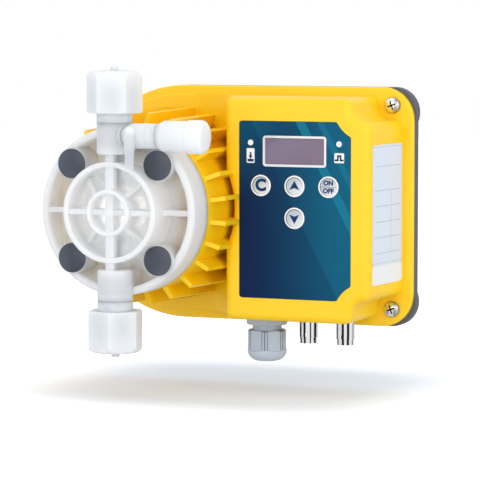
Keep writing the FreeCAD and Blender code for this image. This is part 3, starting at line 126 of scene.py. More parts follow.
# A material under way; its x, y and z and all the sizes that it is given are in mm
class Shader(Nodes):
    def __init__(self, name):
        self.material = bpy.data.materials.new(name)
        self.material.use_nodes = True
        super().__init__(self.material.node_tree)
        self.surface = self.tree.nodes["Principled BSDF"].inputs
        self.spot = self.node("TexCoord", {}, {}, "Object")
        axes = [self.node("SeparateXYZ", {}, {0: self.spot}, axis) for axis in range(3)]
        self.x, self.y, self.z = (axis / mm for axis in axes)

    def noise(self, size, detail, stretch=(1, 1, 1)):
        spot = self.node("Mapping", {}, {0: self.spot, 3: stretch})
        return self.node("TexNoise", {}, {"Vector": spot, "Scale": 1 / (size * mm), "Detail": detail})

    def patches(self, size, detail, low, high, stretch=(1, 1, 1)):
        return self.noise(size, detail, stretch).ramp(low, high)

    def flakes(self, size):  # fine cells, darkest in their middles
        return self.node("TexVoronoi", {}, {"Vector": self.spot, "Scale": 1 / (size * mm)}, "Distance")

    def mix(self, factor, first, second):
        inputs = {0: factor, 6: rgba(first), 7: rgba(second)}
        return self.node("Mix", {"data_type": "RGBA"}, inputs, 2)

    def glow(self, colour):
        self.feed(self.surface["Emission Color"], colour)
        self.surface["Emission Strength"].default_value = 1.0

    def finish(self, colour, roughness, relief=None, depth=0.0, edge=0.0, **constants):
        self.feed(self.surface["Base Color"], rgba(colour))
        self.feed(self.surface["Roughness"], roughness)
        normal = None
        if edge:  # rounds the edges in the shading
            normal = self.node("Bevel", {"samples": 6}, {"Radius": edge * mm})
        if relief is not None:
            inputs = {"Height": relief, "Distance": depth * mm, "Strength": 1.0}
            if normal:
                inputs["Normal"] = normal
            normal = self.node("Bump", {}, inputs)
        if normal:
            self.feed(self.surface["Normal"], normal)
        for name, value in constants.items():
            self.feed(self.surface[name.replace("_", " ")], value)
        return self.material


black = (0.0, 0.0, 0.0)


def rgba(colour):
    if isinstance(colour, tuple) and len(colour) == 3:
        return (*colour, 1.0)
    return colour


def distance(across, up):
    return (across * across + up * up) ** 0.5


def boxInMm(node):  # a CAD node's lowest corner, middle and highest corner
    low, high = ([part / mm for part in corner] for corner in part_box(node))
    middle = [(lowPart + highPart) / 2 for lowPart, highPart in zip(low, high)]
    return low, middle, high


# In the materials' dictionaries, noise is given by size and detail, and patches of it also by where
# they start and are full; depth is how high the relief stands, and edge the radius of rounded edges

# Moulded plastics: a fine spark-eroded grain, slow shade changes and rounded corners
mouldedSkin = dict(drift=(60, 2, 0.35, 0.7), driftShare=0.5, scuff=(9, 6, 0.55, 0.75, (1, 1, 0.25)),
                   grainDetail=4, grainRoughness=0.08, scuffRoughness=0.07)
mouldings = {
    "yellowHousing": dict(colour=(1.0, 0.65, 0.002), shade=(0.98, 0.57, 0.0), roughness=0.36, grain=0.5,
                          depth=0.012, edge=0.35),
    "greyBackPlate": dict(colour=(0.085, 0.092, 0.115), shade=(0.065, 0.07, 0.088), roughness=0.55,
                          grain=0.4, depth=0.03, edge=0.3),
    "glandNylon": dict(colour=(0.46, 0.53, 0.64), shade=(0.38, 0.44, 0.53), roughness=0.42, grain=0.35,
                       depth=0.01, edge=0.2),
    "blackMoulding": dict(colour=(0.02, 0.02, 0.022), shade=(0.03, 0.03, 0.03), roughness=0.5, grain=0.3,
                          depth=0.02, edge=0.2),
    "greenTerminal": dict(colour=(0.03, 0.22, 0.07), shade=(0.02, 0.17, 0.05), roughness=0.4, grain=0.3,
                          depth=0.01, edge=0.2),
    "bobbinNylon": dict(colour=(0.62, 0.56, 0.42), shade=(0.52, 0.46, 0.33), roughness=0.5, grain=0.4,
                        depth=0.015, edge=0.2),
}


def mouldedPlastic(name):
    look = mouldedSkin | mouldings[name]
    shader = Shader(name)
    drift = shader.patches(*look["drift"])
    scuff = shader.patches(*look["scuff"])
    grain = shader.noise(look["grain"], look["grainDetail"])
    colour = shader.mix(drift * look["driftShare"], look["colour"], look["shade"])
    roughness = look["roughness"] + grain * look["grainRoughness"] + scuff * look["scuffRoughness"]
    return shader.finish(colour, roughness, grain, look["depth"], look["edge"])


# Caps over the head's screws: dark slate plastic with a soft bloom
slateLook = dict(colour=(0.036, 0.043, 0.064), pale=(0.070, 0.082, 0.112), bloom=(15, 0, 0.3, 0.7),
                 grain=(0.3, 4), roughness=0.34, grainRoughness=0.08, depth=0.006, edge=0.25)


def slateCap(name):
    look = slateLook
    shader = Shader(name)
    grain = shader.noise(*look["grain"])
    colour = shader.mix(shader.patches(*look["bloom"]), look["colour"], look["pale"])
    roughness = look["roughness"] + grain * look["grainRoughness"]
    return shader.finish(colour, roughness, grain, look["depth"], look["edge"])


# Natural, slightly see-through plastic of the wetted parts; less light spreads in the thin nozzles
naturalLook = dict(colour=(0.82, 0.85, 0.885), cloudy=(0.78, 0.81, 0.845), cloud=(22, 3, 0.35, 0.75),
                   cloudShare=0.6, grain=(0.7, 3), roughness=0.4, grainRoughness=0.1, depth=0.01,
                   edge=0.3, spread=(10, 9, 8), spreadScale=1.5)
spreadShares = {"naturalPlastic": 0.8, "ribbedPlastic": 0.8, "nozzlePlastic": 0.15}


def naturalFinish(shader, name, colour):
    look = naturalLook
    grain = shader.noise(*look["grain"])
    roughness = look["roughness"] + grain * look["grainRoughness"]
    spread = tuple(part * mm for part in look["spread"])
    return shader.finish(colour, roughness, grain, look["depth"], look["edge"],
                         Subsurface_Weight=spreadShares[name], Subsurface_Radius=spread,
                         Subsurface_Scale=look["spreadScale"])


def naturalPlastic(name):
    look = naturalLook
    shader = Shader(name)
    cloud = shader.patches(*look["cloud"])
    colour = shader.mix(cloud * look["cloudShare"], look["colour"], look["cloudy"])
    return naturalFinish(shader, name, colour)


# The head's colours are painted light and shade over a plain rim colour: a painted lighter inside and
# lower neck, painted pale light palest low between the rings, a painted warm glow low near the rim, as if
# the yellow housing's light came through it, painted shade on the right of that, and a painted glow on the
# low floors; each pair of numbers is where a change starts and is complete
headLook = dict(inner=(0.91, 0.915, 0.92), rim=(0.77, 0.785, 0.80), neck=(0.94, 0.945, 0.95),
                pale=(0.96, 0.96, 0.95), paintedWarmth=(0.90, 0.78, 0.64), shaded=(0.68, 0.57, 0.46),
                height=(88, 104), hubRadius=(9, 13), ringRadius=(24, 36), wallRadius=(41.5, 42.1),
                neckDrop=(43, 47), shadeSide=(0, 26), warmth=(14, 2, 0.3, 0.6), leastWarmth=0.5,
                paintedHubGlow=(0.42, 0.42, 0.42), paintedRingGlow=(0.115, 0.115, 0.115))


def ribbedPlastic(name):
    look = headLook
    shader = Shader(name)
    away = distance(shader.x, shader.z)
    outer = away.ramp(*look["ringRadius"])
    low = 1 - (shader.y * -1).ramp(*look["height"])
    # painted light: the inside lighter than the rim, and the lower neck lighter still
    high = shader.mix(outer, look["inner"], look["rim"])
    high = shader.mix((shader.z * -1).ramp(*look["neckDrop"]), high, look["neck"])
    # painted warm glow low near the rim, with painted shade on its right side, and painted pale light low
    # between the rings
    warmth = shader.patches(*look["warmth"]) * (1 - look["leastWarmth"]) + look["leastWarmth"]
    paintedWarmth = shader.mix(shader.x.ramp(*look["shadeSide"]), look["paintedWarmth"], look["shaded"])
    paintedWarmth = shader.mix(outer * warmth, look["pale"], paintedWarmth)
    paintedWarmth = shader.mix(away.ramp(*look["wallRadius"]), paintedWarmth, high)
    # painted glow on the low floors inside the ring, strongest in the hub
    glow = shader.mix(away.ramp(*look["hubRadius"]), look["paintedHubGlow"], look["paintedRingGlow"])
    glow = shader.mix(outer, glow, black)
    shader.glow(shader.mix(low, black, glow))
    return naturalFinish(shader, name, shader.mix(low, high, paintedWarmth))


# The gland's nut: pale flats, painted shade in the grooves at its six corners, and a dome below made paler
# by painted light
nutLook = dict(flat=(0.46, 0.53, 0.645), dome=(0.56, 0.62, 0.74), groove=(0.17, 0.20, 0.26), corners=6,
               cornerShare=(0.45, 0.6), grooveFloor=0.35, grooveTop=0.1, domeHeight=(5.8, 6.1),
               domeShare=0.6, grain=(0.35, 4), roughness=0.28, grainRoughness=0.08, depth=0.01, edge=0.2)


def groovedNylon(name):
    look = nutLook
    shader = Shader(name)
    low, middle, high = boxInMm("gland_nut")
    radius = (high[0] - low[0]) / 2
    across = shader.x - middle[0]
    front = middle[1] - shader.y
    corner = (across.angle(front) * look["corners"]).sine().ramp(*look["cornerShare"])
    skin = distance(across, front).ramp(radius - look["grooveFloor"], radius - look["grooveTop"])
    # painted light on the dome, and painted shade in the corner grooves
    dome = 1 - (shader.z - low[2]).ramp(*look["domeHeight"])
    colour = shader.mix(dome * look["domeShare"], look["flat"], look["dome"])
    colour = shader.mix(corner * (1 - skin) * (1 - dome), colour, look["groove"])
    grain = shader.noise(*look["grain"])
    roughness = look["roughness"] + grain * look["grainRoughness"]
    return shader.finish(colour, roughness, grain, look["depth"], look["edge"])


# Turned metals: fine cross marks and darker smears
turnedSkin = dict(smear=(4, 5, 0.45, 0.75), smearShare=0.5, darkest=0.82, smearRoughness=0.12,
                  grainDetail=2, stretch=(1, 1, 6), depth=0.003, edge=0.12)
metals = {
    "zincSteel": dict(colour=(0.46, 0.46, 0.47), roughness=0.22, grain=0.12),
    "stainlessSteel": dict(colour=(0.58, 0.57, 0.55), roughness=0.22, grain=0.1),
    "brightNickel": dict(colour=(0.60, 0.585, 0.57), roughness=0.12, grain=0.1),
    "softIron": dict(colour=(0.20, 0.20, 0.21), roughness=0.42, grain=0.5),
    "sinteredBronze": dict(colour=(0.48, 0.30, 0.13), roughness=0.5, grain=0.15),
    "turnedBrass": dict(colour=(0.72, 0.50, 0.17), roughness=0.25, grain=0.1),
    "platedGold": dict(colour=(0.83, 0.60, 0.22), roughness=0.2, grain=0.1),
}


def turnedMetal(name):
    look = turnedSkin | metals[name]
    shader = Shader(name)
    grain = shader.noise(look["grain"], look["grainDetail"], look["stretch"])
    smear = shader.patches(*look["smear"])
    dark = tuple(part * look["darkest"] for part in look["colour"])
    colour = shader.mix(smear * look["smearShare"], look["colour"], dark)
    roughness = look["roughness"] + smear * look["smearRoughness"]
    return shader.finish(colour, roughness, grain, look["depth"], look["edge"], Metallic=1.0)


# Cross-slotted screws of the cover: bright heads with painted shade in the recess, a painted dark
# reflection on the rim and in an upright band, and dark streaks; the places are shares of the head's
# radius
screwLook = dict(bright=(0.86, 0.86, 0.86), dark=(0.16, 0.15, 0.15), recessShade=(0.015, 0.014, 0.016),
                 recessDepth=(0.45, 0.75), recessRadius=(0.54, 0.60), rimRadius=(0.86, 0.98), rimReflectionShare=0.8,
                 reflectionBandLeft=(0.30, 0.42), reflectionBandRight=(0.66, 0.80), reflectionBandShare=0.7,
                 streak=(2.5, 2, 0.45, 0.6, (1, 1, 0.4)), streakShare=0.35, roughness=0.2,
                 streakRoughness=0.1, depth=0.01, edge=0.12)


def crossScrew(name):
    look = screwLook
    shader = Shader(name)
    low, middle, high = boxInMm("cover_screws")
    radius = (high[0] - low[0]) / 2
    across = (shader.x - middle[0]) / radius
    up = (abs(shader.z - middle[2]) - ((high[2] - low[2]) / 2 - radius)) / radius
    away = distance(across, up)
    # painted shade in the cross recess
    sunk = (shader.y - low[1]).ramp(*look["recessDepth"]) * (1 - away.ramp(*look["recessRadius"]))
    streak = shader.patches(*look["streak"])
    # painted dark reflections: an upright band across the head, and its rim
    band = across.ramp(*look["reflectionBandLeft"]) * (1 - across.ramp(*look["reflectionBandRight"]))
    rim = away.ramp(*look["rimRadius"])
    dark = (streak * look["streakShare"]).larger(band * look["reflectionBandShare"]).larger(rim * look["rimReflectionShare"])
    colour = shader.mix(dark, look["bright"], look["dark"])
    colour = shader.mix(sunk, colour, look["recessShade"])
    roughness = look["roughness"] + streak * look["streakRoughness"]
    return shader.finish(colour, roughness, streak, look["depth"], look["edge"], Metallic=1.0)


# Nickel shells of the sockets: bright, with painted reflections as dark streaks along them, set by the
# turn about each shell's axis
shellLook = dict(bright=(0.90, 0.89, 0.88), dull=(0.62, 0.61, 0.60), dark=(0.02, 0.02, 0.022),
                 fineReflections=10, fineShift=0.9, wideReflections=4, wideShare=0.5, reflectionStops=(0.25, 0.5),
                 smear=(3, 3, 0.4, 0.8), smearShare=0.3, roughness=0.1, smearRoughness=0.12, depth=0.003,
                 edge=0.12)


def nickelShell(name):
    look = shellLook
    shader = Shader(name)
    low, middle, high = boxInMm("bnc_shells")
    radius = (high[1] - low[1]) / 2
    across = abs(shader.x - middle[0]) - ((high[0] - low[0]) / 2 - radius)
    # painted reflections: dark streaks by the turn about the shell's axis
    turn = across.angle(middle[1] - shader.y)
    fine = (turn * look["fineReflections"] + look["fineShift"]).sine()
    wide = (turn * look["wideReflections"]).sine() * look["wideShare"]
    smear = shader.patches(*look["smear"])
    colour = shader.mix(smear * look["smearShare"], look["bright"], look["dull"])
    colour = shader.mix((fine + wide).ramp(*look["reflectionStops"]), colour, look["dark"])
    roughness = look["roughness"] + smear * look["smearRoughness"]
    return shader.finish(colour, roughness, smear, look["depth"], look["edge"], Metallic=1.0)


# Rubbers and the membrane: matt, with a paler bloom
rubberSkin = dict(bloom=(5, 5, 0.45, 0.8), bloomShare=0.6, paler=1.25, lift=0.01, bloomRoughness=0.1,
                  grain=(0.25, 3), depth=0.01, edge=0.15)
rubbers = {
    "blackRubber": dict(colour=(0.018, 0.018, 0.019), roughness=0.62),
    "greenRubber": dict(colour=(0.03, 0.08, 0.04), roughness=0.55),
    "whiteMembrane": dict(colour=(0.82, 0.82, 0.80), roughness=0.38),
}


def rubber(name):
    look = rubberSkin | rubbers[name]
    shader = Shader(name)
    bloom = shader.patches(*look["bloom"])
    pale = tuple(min(1.0, part * look["paler"] + look["lift"]) for part in look["colour"])
    colour = shader.mix(bloom * look["bloomShare"], look["colour"], pale)
    roughness = look["roughness"] + bloom * look["bloomRoughness"]
    return shader.finish(colour, roughness, shader.noise(*look["grain"]), look["depth"], look["edge"])


# Panel film: navy on the left to teal on the right, with plain slanting bands; a band is given by
# its far and near edge, counted back from the upper right corner, and by how strong it is
panelLook = dict(navy=(0.005, 0.020, 0.074), teal=(0.006, 0.110, 0.200), pale=(0.010, 0.190, 0.290),
                 fade=(45, 1), fadeShare=0.12, across=(0.05, 1.0), cornerAcross=(0.0, 0.55),
                 cornerUp=(0.5, 1.0), cornerShare=0.85, slope=1.9,
                 bands=((62, 51.5, 0.8), (38, 30.5, 0.5)), darkFrom=112, darkShare=0.35, bandEdge=0.5,
                 grain=(0.35, 2), roughness=0.36, grainRoughness=0.06, depth=0.004, edge=0.15)


def panelFilm(name):
    look = panelLook
    shader = Shader(name)
    low, middle, high = boxInMm("control_panel")
    across = (shader.x - low[0]) / (high[0] - low[0])
    up = (shader.z - low[2]) / (high[2] - low[2])
    fade = (shader.noise(*look["fade"]) - 0.5) * look["fadeShare"]
    colour = shader.mix((across + fade).ramp(*look["across"]), look["navy"], look["teal"])
    corner = (1 - across.ramp(*look["cornerAcross"])) * up.ramp(*look["cornerUp"])
    colour = shader.mix(corner * look["cornerShare"], colour, look["teal"])
    slant = shader.x * look["slope"] + shader.z
    start = high[0] * look["slope"] + high[2]
    edge = look["bandEdge"]
    dark = 1 - slant.ramp(start - look["darkFrom"], start - look["darkFrom"] + edge)
    colour = shader.mix(dark * look["darkShare"], colour, look["navy"])
    pale = sum(slant.band(start - far, start - near, edge) * share for far, near, share in look["bands"])
    colour = shader.mix(pale, colour, look["pale"])
    grain = shader.noise(*look["grain"])
    roughness = look["roughness"] + grain * look["grainRoughness"]
    return shader.finish(colour, roughness, grain, look["depth"], look["edge"], Specular_IOR_Level=0.05)


# Display window: dull violet glass, darker to the lower right
glassLook = dict(left=(0.180, 0.140, 0.220), right=(0.160, 0.105, 0.175), lean=0.4, shift=0.2,
                 smear=(6, 4), roughness=0.16, smearRoughness=0.08, depth=0.002)


def displayGlass(name):
    look = glassLook
    shader = Shader(name)
    low, middle, high = boxInMm("display_window")
    across = (shader.x - low[0]) / (high[0] - low[0])
    up = (shader.z - low[2]) / (high[2] - low[2])
    tint = (across - up * look["lean"] + look["shift"]).ramp(0.0, 1.0)
    smear = shader.noise(*look["smear"])
    return shader.finish(shader.mix(tint, look["left"], look["right"]),
                         look["roughness"] + smear * look["smearRoughness"], smear, look["depth"],
                         Coat_Weight=0.6, Coat_Roughness=0.06)


# Silver paint on the display's frame and on the keys: fine metal flakes
silverSkin = dict(flakes=0.18, flakeRoughness=0.1, depth=0.002, edge=0.15)
bezelLook = dict(bright=(0.72, 0.72, 0.727), dull=(0.619, 0.619, 0.648), smear=(5, 4, 0.4, 0.8),
                 smearShare=0.4, roughness=0.32, metallic=0.55)


def silverFinish(shader, colour, look):
    look = silverSkin | look
    flakes = shader.flakes(look["flakes"])
    roughness = look["roughness"] + flakes * look["flakeRoughness"]
    return shader.finish(colour, roughness, flakes, look["depth"], look["edge"],
                         Metallic=look["metallic"])


def silverFrame(name):
    look = bezelLook
    shader = Shader(name)
    smear = shader.patches(*look["smear"]) * look["smearShare"]
    return silverFinish(shader, shader.mix(smear, look["bright"], look["dull"]), look)


# Keys: a bright rim, painted shade in a groove on one side of it, and a dished face with painted shade
# across it, lighter to the lower right; the edges of rim and groove shade are counted out from where the
# rim starts, inside the hidden flange
keyLook = dict(flange=1.1, rimWidth=0.9, rimEdge=(-0.15, 0.1), grooveEdge=(-0.7, -0.3), lean=10,
               face=(0.42, 0.46, 0.50), faceRight=(0.64, 0.65, 0.66), faceStops=(-0.6, 0.6),
               rim=(0.84, 0.84, 0.84), groove=(0.10, 0.11, 0.13), grooveStops=(-0.3, 0.7), roughness=0.3,
               metallic=0.5)
keySilvers = {"clearSilver": "clear_button", "upSilver": "up_button", "onOffSilver": "on_off_button",
              "downSilver": "down_button"}


def silverKey(name):
    look = keyLook
    shader = Shader(name)
    low, middle, high = boxInMm(keySilvers[name])
    across = shader.x - middle[0]
    up = shader.z - middle[2]
    # painted shade: the face lighter to the lower right, and the groove darker on the upper left
    lean = (across - up) / look["lean"]
    start = (high[0] - low[0]) / 2 - look["flange"] - look["rimWidth"]
    fromRim = distance(across, up) - start
    rim = fromRim.ramp(*look["rimEdge"])
    groove = fromRim.ramp(*look["grooveEdge"]) * (1 - rim)
    colour = shader.mix(lean.ramp(*look["faceStops"]), look["face"], look["faceRight"])
    colour = shader.mix(rim, colour, look["rim"])
    colour = shader.mix(groove * (1 - lean.ramp(*look["grooveStops"])), colour, look["groove"])
    return silverFinish(shader, colour, look)


# Label films: a hairline frame and ruled fields, with nothing written in them; the frame and the
# lines' ends are counted out from the edges, and rows and post are shares of the label's size
labelSkin = dict(ink=(0.30, 0.34, 0.42), frameBand=(-1.3, -1.05, 0.05), line=(0.12, 0.24),
                 lineEnds=(-3.1, -3.0), postAt=0.62, postMiddle=0.36, postReach=(0.26, 0.262),
                 fibre=(0.4, 4), roughness=0.42, fibreRoughness=0.1, depth=0.003)
labels = {
    "ratingFilm": dict(node="rating_label", tint=(0.69, 0.75, 0.85), weight=0.7,
                       rows=(0.82, 0.62, 0.49, 0.36, 0.23, 0.10)),
    "stickerFilm": dict(node="serial_sticker", tint=(0.83, 0.84, 0.86), weight=0.15, rows=()),
}


def labelFilm(name):
    look = labelSkin | labels[name]
    shader = Shader(name)
    low, middle, high = boxInMm(look["node"])
    tall = high[2] - low[2]
    deep = high[1] - low[1]
    up = shader.z - low[2]
    beyondTop = abs(shader.z - middle[2]) - tall / 2
    beyondSide = abs(shader.y - middle[1]) - deep / 2
    ruled = beyondTop.band(*look["frameBand"]).larger(beyondSide.band(*look["frameBand"]))
    for row in look["rows"]:
        line = 1 - abs(up - tall * row).ramp(*look["line"])
        ruled = ruled.larger(line * (1 - beyondSide.ramp(*look["lineEnds"])))
    if look["rows"]:
        post = 1 - abs(shader.y - low[1] - deep * look["postAt"]).ramp(*look["line"])
        postEnds = (tall * reach for reach in look["postReach"])
        ruled = ruled.larger(post * (1 - abs(up - tall * look["postMiddle"]).ramp(*postEnds)))
    fibre = shader.noise(*look["fibre"])
    colour = shader.mix(ruled * look["weight"], look["tint"], look["ink"])
    return shader.finish(colour, look["roughness"] + fibre * look["fibreRoughness"], fibre, look["depth"])


# Polished pieces: the two small lamps' lenses and the valves' balls
polished = {
    "lampLens": dict(colour=(0.93, 0.94, 0.95), cloudy=(0.82, 0.86, 0.90), cloud=(1.2, 3), cloudShare=0.4,
                     roughness=0.18, cloudRoughness=0.1, depth=0.004, edge=0.3, coat=0.5),
    "ceramicBall": dict(colour=(0.86, 0.86, 0.83), cloudy=(0.78, 0.78, 0.74), cloud=(1.5, 3),
                        cloudShare=0.4, roughness=0.15, cloudRoughness=0.06, depth=0.002, edge=0.0,
                        coat=0.3),
}


def polishedPiece(name):
    look = polished[name]
    shader = Shader(name)
    cloud = shader.noise(*look["cloud"])
    colour = shader.mix(cloud * look["cloudShare"], look["colour"], look["cloudy"])
    roughness = look["roughness"] + cloud * look["cloudRoughness"]
    return shader.finish(colour, roughness, cloud, look["depth"], look["edge"], Coat_Weight=look["coat"])


# Winding: copper turns side by side
wireLook = dict(thickness=0.8, dark=(0.16, 0.04, 0.01), copper=(0.62, 0.22, 0.07),
                turnStops=(-1.0, 0.4), roughness=0.3, depth=0.1)


def coilWire(name):
    look = wireLook
    shader = Shader(name)
    turns = (shader.y * (math.tau / look["thickness"])).sine()
    colour = shader.mix(turns.ramp(*look["turnStops"]), look["dark"], look["copper"])
    return shader.finish(colour, look["roughness"], turns, look["depth"], Metallic=0.8)


# Circuit board: green mask with broken tracks under it
boardLook = dict(mask=(0.01, 0.10, 0.04), track=(0.03, 0.20, 0.07), pitch=2.5,
                 trackStops=(0.85, 0.95), breaks=(7, 1, 0.5, 0.52), roughness=0.35, depth=0.03, edge=0.1)


def solderMask(name):
    look = boardLook
    shader = Shader(name)
    tracks = abs((shader.z * (math.tau / look["pitch"])).sine()).ramp(*look["trackStops"])
    tracks = tracks * shader.patches(*look["breaks"])
    colour = shader.mix(tracks, look["mask"], look["track"])
    return shader.finish(colour, look["roughness"], tracks, look["depth"], look["edge"], Coat_Weight=0.3)


# Inks of the printed marks, a little worn
inkSkin = dict(wear=(0.8, 4, 0.5, 0.9), wearShare=0.3, roughness=0.4, wearRoughness=0.1, depth=0.002)
inks = {
    "navyInk": dict(colour=(0.006, 0.040, 0.120), worn=(0.015, 0.060, 0.150)),
    "greyInk": dict(colour=(0.15, 0.17, 0.21), worn=(0.20, 0.22, 0.26)),
    "whiteInk": dict(colour=(0.90, 0.92, 0.94), worn=(0.78, 0.80, 0.84)),
}


def printInk(name):
    look = inkSkin | inks[name]
    shader = Shader(name)
    wear = shader.patches(*look["wear"])
    colour = shader.mix(wear * look["wearShare"], look["colour"], look["worn"])
    roughness = look["roughness"] + wear * look["wearRoughness"]
    return shader.finish(colour, roughness, wear, look["depth"], Specular_IOR_Level=0.1)


# Every finish: what makes it, and the CAD nodes that wear it
finishes = {
    "yellowHousing": (mouldedPlastic, ["cover"]),
    "greyBackPlate": (mouldedPlastic, ["back_plate"]),
    "glandNylon": (mouldedPlastic, ["gland_body", "gland_locknut"]),
    "blackMoulding": (mouldedPlastic, ["key_switches", "transformer", "display_module"]),
    "greenTerminal": (mouldedPlastic, ["terminal_block"]),
    "bobbinNylon": (mouldedPlastic, ["coil_bobbin"]),
    "slateCap": (slateCap, ["screw_caps"]),
    "naturalPlastic": (naturalPlastic, ["discharge_valve_body", "suction_valve_body", "valve_seats",
                                        "clamp_rings", "discharge_nut", "suction_nut", "bleed_body",
                                        "bleed_stem", "bleed_knob", "backing_disc", "bnc_insulators"]),
    "nozzlePlastic": (naturalPlastic, ["tube_nozzles"]),
    "ribbedPlastic": (ribbedPlastic, ["pump_head"]),
    "groovedNylon": (groovedNylon, ["gland_nut"]),
    "zincSteel": (turnedMetal, ["magnet_screws", "board_screws"]),
    "stainlessSteel": (turnedMetal, ["head_screws", "plunger_shaft", "return_spring", "diaphragm_insert"]),
    "brightNickel": (turnedMetal, ["bnc_nuts"]),
    "softIron": (turnedMetal, ["magnet_yoke", "pole_plate", "armature"]),
    "sinteredBronze": (turnedMetal, ["shaft_bushes"]),
    "turnedBrass": (turnedMetal, ["wall_inserts"]),
    "platedGold": (turnedMetal, ["bnc_contacts"]),
    "crossScrew": (crossScrew, ["cover_screws"]),
    "nickelShell": (nickelShell, ["bnc_shells"]),
    "blackRubber": (rubber, ["housing_gasket", "shaft_seal", "gland_seal"]),
    "greenRubber": (rubber, ["valve_seals", "bleed_seal"]),
    "whiteMembrane": (rubber, ["diaphragm"]),
    "panelFilm": (panelFilm, ["control_panel"]),
    "displayGlass": (displayGlass, ["display_window"]),
    "silverFrame": (silverFrame, ["display_bezel"]),
    "ratingFilm": (labelFilm, ["rating_label"]),
    "stickerFilm": (labelFilm, ["serial_sticker"]),
    "lampLens": (polishedPiece, ["status_lamps"]),
    "ceramicBall": (polishedPiece, ["discharge_ball", "suction_ball"]),
    "coilWire": (coilWire, ["coil_winding"]),
    "solderMask": (solderMask, ["circuit_board"]),
    "navyInk": (printInk, []),
    "greyInk": (printInk, []),
    "whiteInk": (printInk, []),
}
finishes.update({name: (silverKey, [node]) for name, node in keySilvers.items()})

materials = {}
for name, (make, nodes) in finishes.items():
    materials[name] = make(name)
    for node in nodes:
        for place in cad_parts[node].material_slots:
            place.material = materials[name]
print("materials set on", sum(len(nodes) for make, nodes in finishes.values()), "nodes")


# Printed marks on the keys and the panel: thin raised ink, sunk a little into what carries it
ink = dict(thickness=0.06, sunk=0.02)
faceForward = (math.pi / 2, 0, 0)
faceForwardTurned = (math.pi / 2, math.pi, 0)


def clearSelection():
    bpy.ops.object.select_all(action="DESELECT")


def selectOnly(piece):
    clearSelection()
    piece.select_set(True)
    bpy.context.view_layer.objects.active = piece


def selectVertices(piece, test):
    for vertex in piece.data.vertices:
        vertex.select = test(vertex.co)
    for edge in piece.data.edges:
        edge.select = all(piece.data.vertices[end].select for end in edge.vertices)
    for face in piece.data.polygons:
        face.select = all(piece.data.vertices[end].select for end in face.vertices)


def thicken(piece):  # grows the flat mark forward into a thin layer
    bpy.ops.object.mode_set(mode="EDIT")
    bpy.ops.mesh.select_all(action="SELECT")
    bpy.ops.mesh.extrude_region_move(
        TRANSFORM_OT_translate={"value": (0, -ink["thickness"] * mm, 0), "orient_type": "GLOBAL"})
    bpy.ops.mesh.select_all(action="SELECT")
    bpy.ops.mesh.normals_make_consistent(inside=False)
    bpy.ops.object.mode_set(mode="OBJECT")
    return piece


def keepPiece(piece, name, finish, body):
    selectOnly(piece)
    bpy.ops.object.transform_apply(location=True, rotation=True, scale=True)
    piece.name = name
    piece.data.name = name
    piece.data.materials.clear()
    piece.data.materials.append(materials[finish])
    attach(piece, body)


def joinPieces(pieces):
    selectOnly(pieces[0])
    for piece in pieces:
        piece.select_set(True)
    bpy.ops.object.join()
    return pieces[0]


def inkSpot(x, z, front):
    return (x * mm, (front + ink["sunk"]) * mm, z * mm)


def word(letters, x, z, front, height, weight):
    clearSelection()
    bpy.ops.object.text_add(location=inkSpot(x, z, front), rotation=faceForward)
    text = bpy.context.active_object
    text.data.body = letters
    text.data.align_x = "CENTER"
    text.data.align_y = "CENTER"
    text.data.size = height * mm
    text.data.offset = weight * mm
    text.data.extrude = ink["thickness"] / 2 * mm
    bpy.ops.object.convert(target="MESH")
    return bpy.context.active_object


def arrowHead(x, z, front, size, notch, down=False):  # a triangle whose flat side is notched
    clearSelection()
    bpy.ops.mesh.primitive_circle_add(vertices=3, radius=size * mm, fill_type="NGON",
                                      location=inkSpot(x, z, front),
                                      rotation=faceForwardTurned if down else faceForward)
    head = bpy.context.active_object
    selectVertices(head, lambda spot: spot.y < 0)
    bpy.ops.object.mode_set(mode="EDIT")
    bpy.ops.mesh.subdivide(number_cuts=1)
    bpy.ops.object.mode_set(mode="OBJECT")
    nearMiddle = size / 10 * mm
    selectVertices(head, lambda spot: abs(spot.x) < nearMiddle and spot.y < 0)
    bpy.ops.object.mode_set(mode="EDIT")
    rise = notch if not down else -notch
    bpy.ops.transform.translate(value=(0, 0, rise * mm), orient_type="GLOBAL")
    bpy.ops.object.mode_set(mode="OBJECT")
    return thicken(head)


def bar(x, z, front, width, height, corner=0.0):
    clearSelection()
    bpy.ops.mesh.primitive_plane_add(size=1.0, location=inkSpot(x, z, front), rotation=faceForward)
    plate = bpy.context.active_object
    plate.scale = (width * mm, height * mm, 1.0)
    bpy.ops.object.transform_apply(location=False, rotation=False, scale=True)
    if corner:
        bpy.ops.object.mode_set(mode="EDIT")
        bpy.ops.mesh.select_all(action="SELECT")
        bpy.ops.mesh.bevel(affect="VERTICES", offset=corner * mm, segments=5)
        bpy.ops.object.mode_set(mode="OBJECT")
    return thicken(plate)


keyMarks = dict(letterHeight=8.9, letterWeight=0.45, smallHeight=3.6, smallWeight=0.2, smallShift=2.15,
                lineWidth=9.4, lineHeight=0.28, arrow=3.45, notch=1.1, arrowShift=0.35, dish=0.15)


def keyFace(node):  # middle of the key's dished face
    low, middle, high = boxInMm(node)
    return middle[0], middle[2], low[1] + keyMarks["dish"]


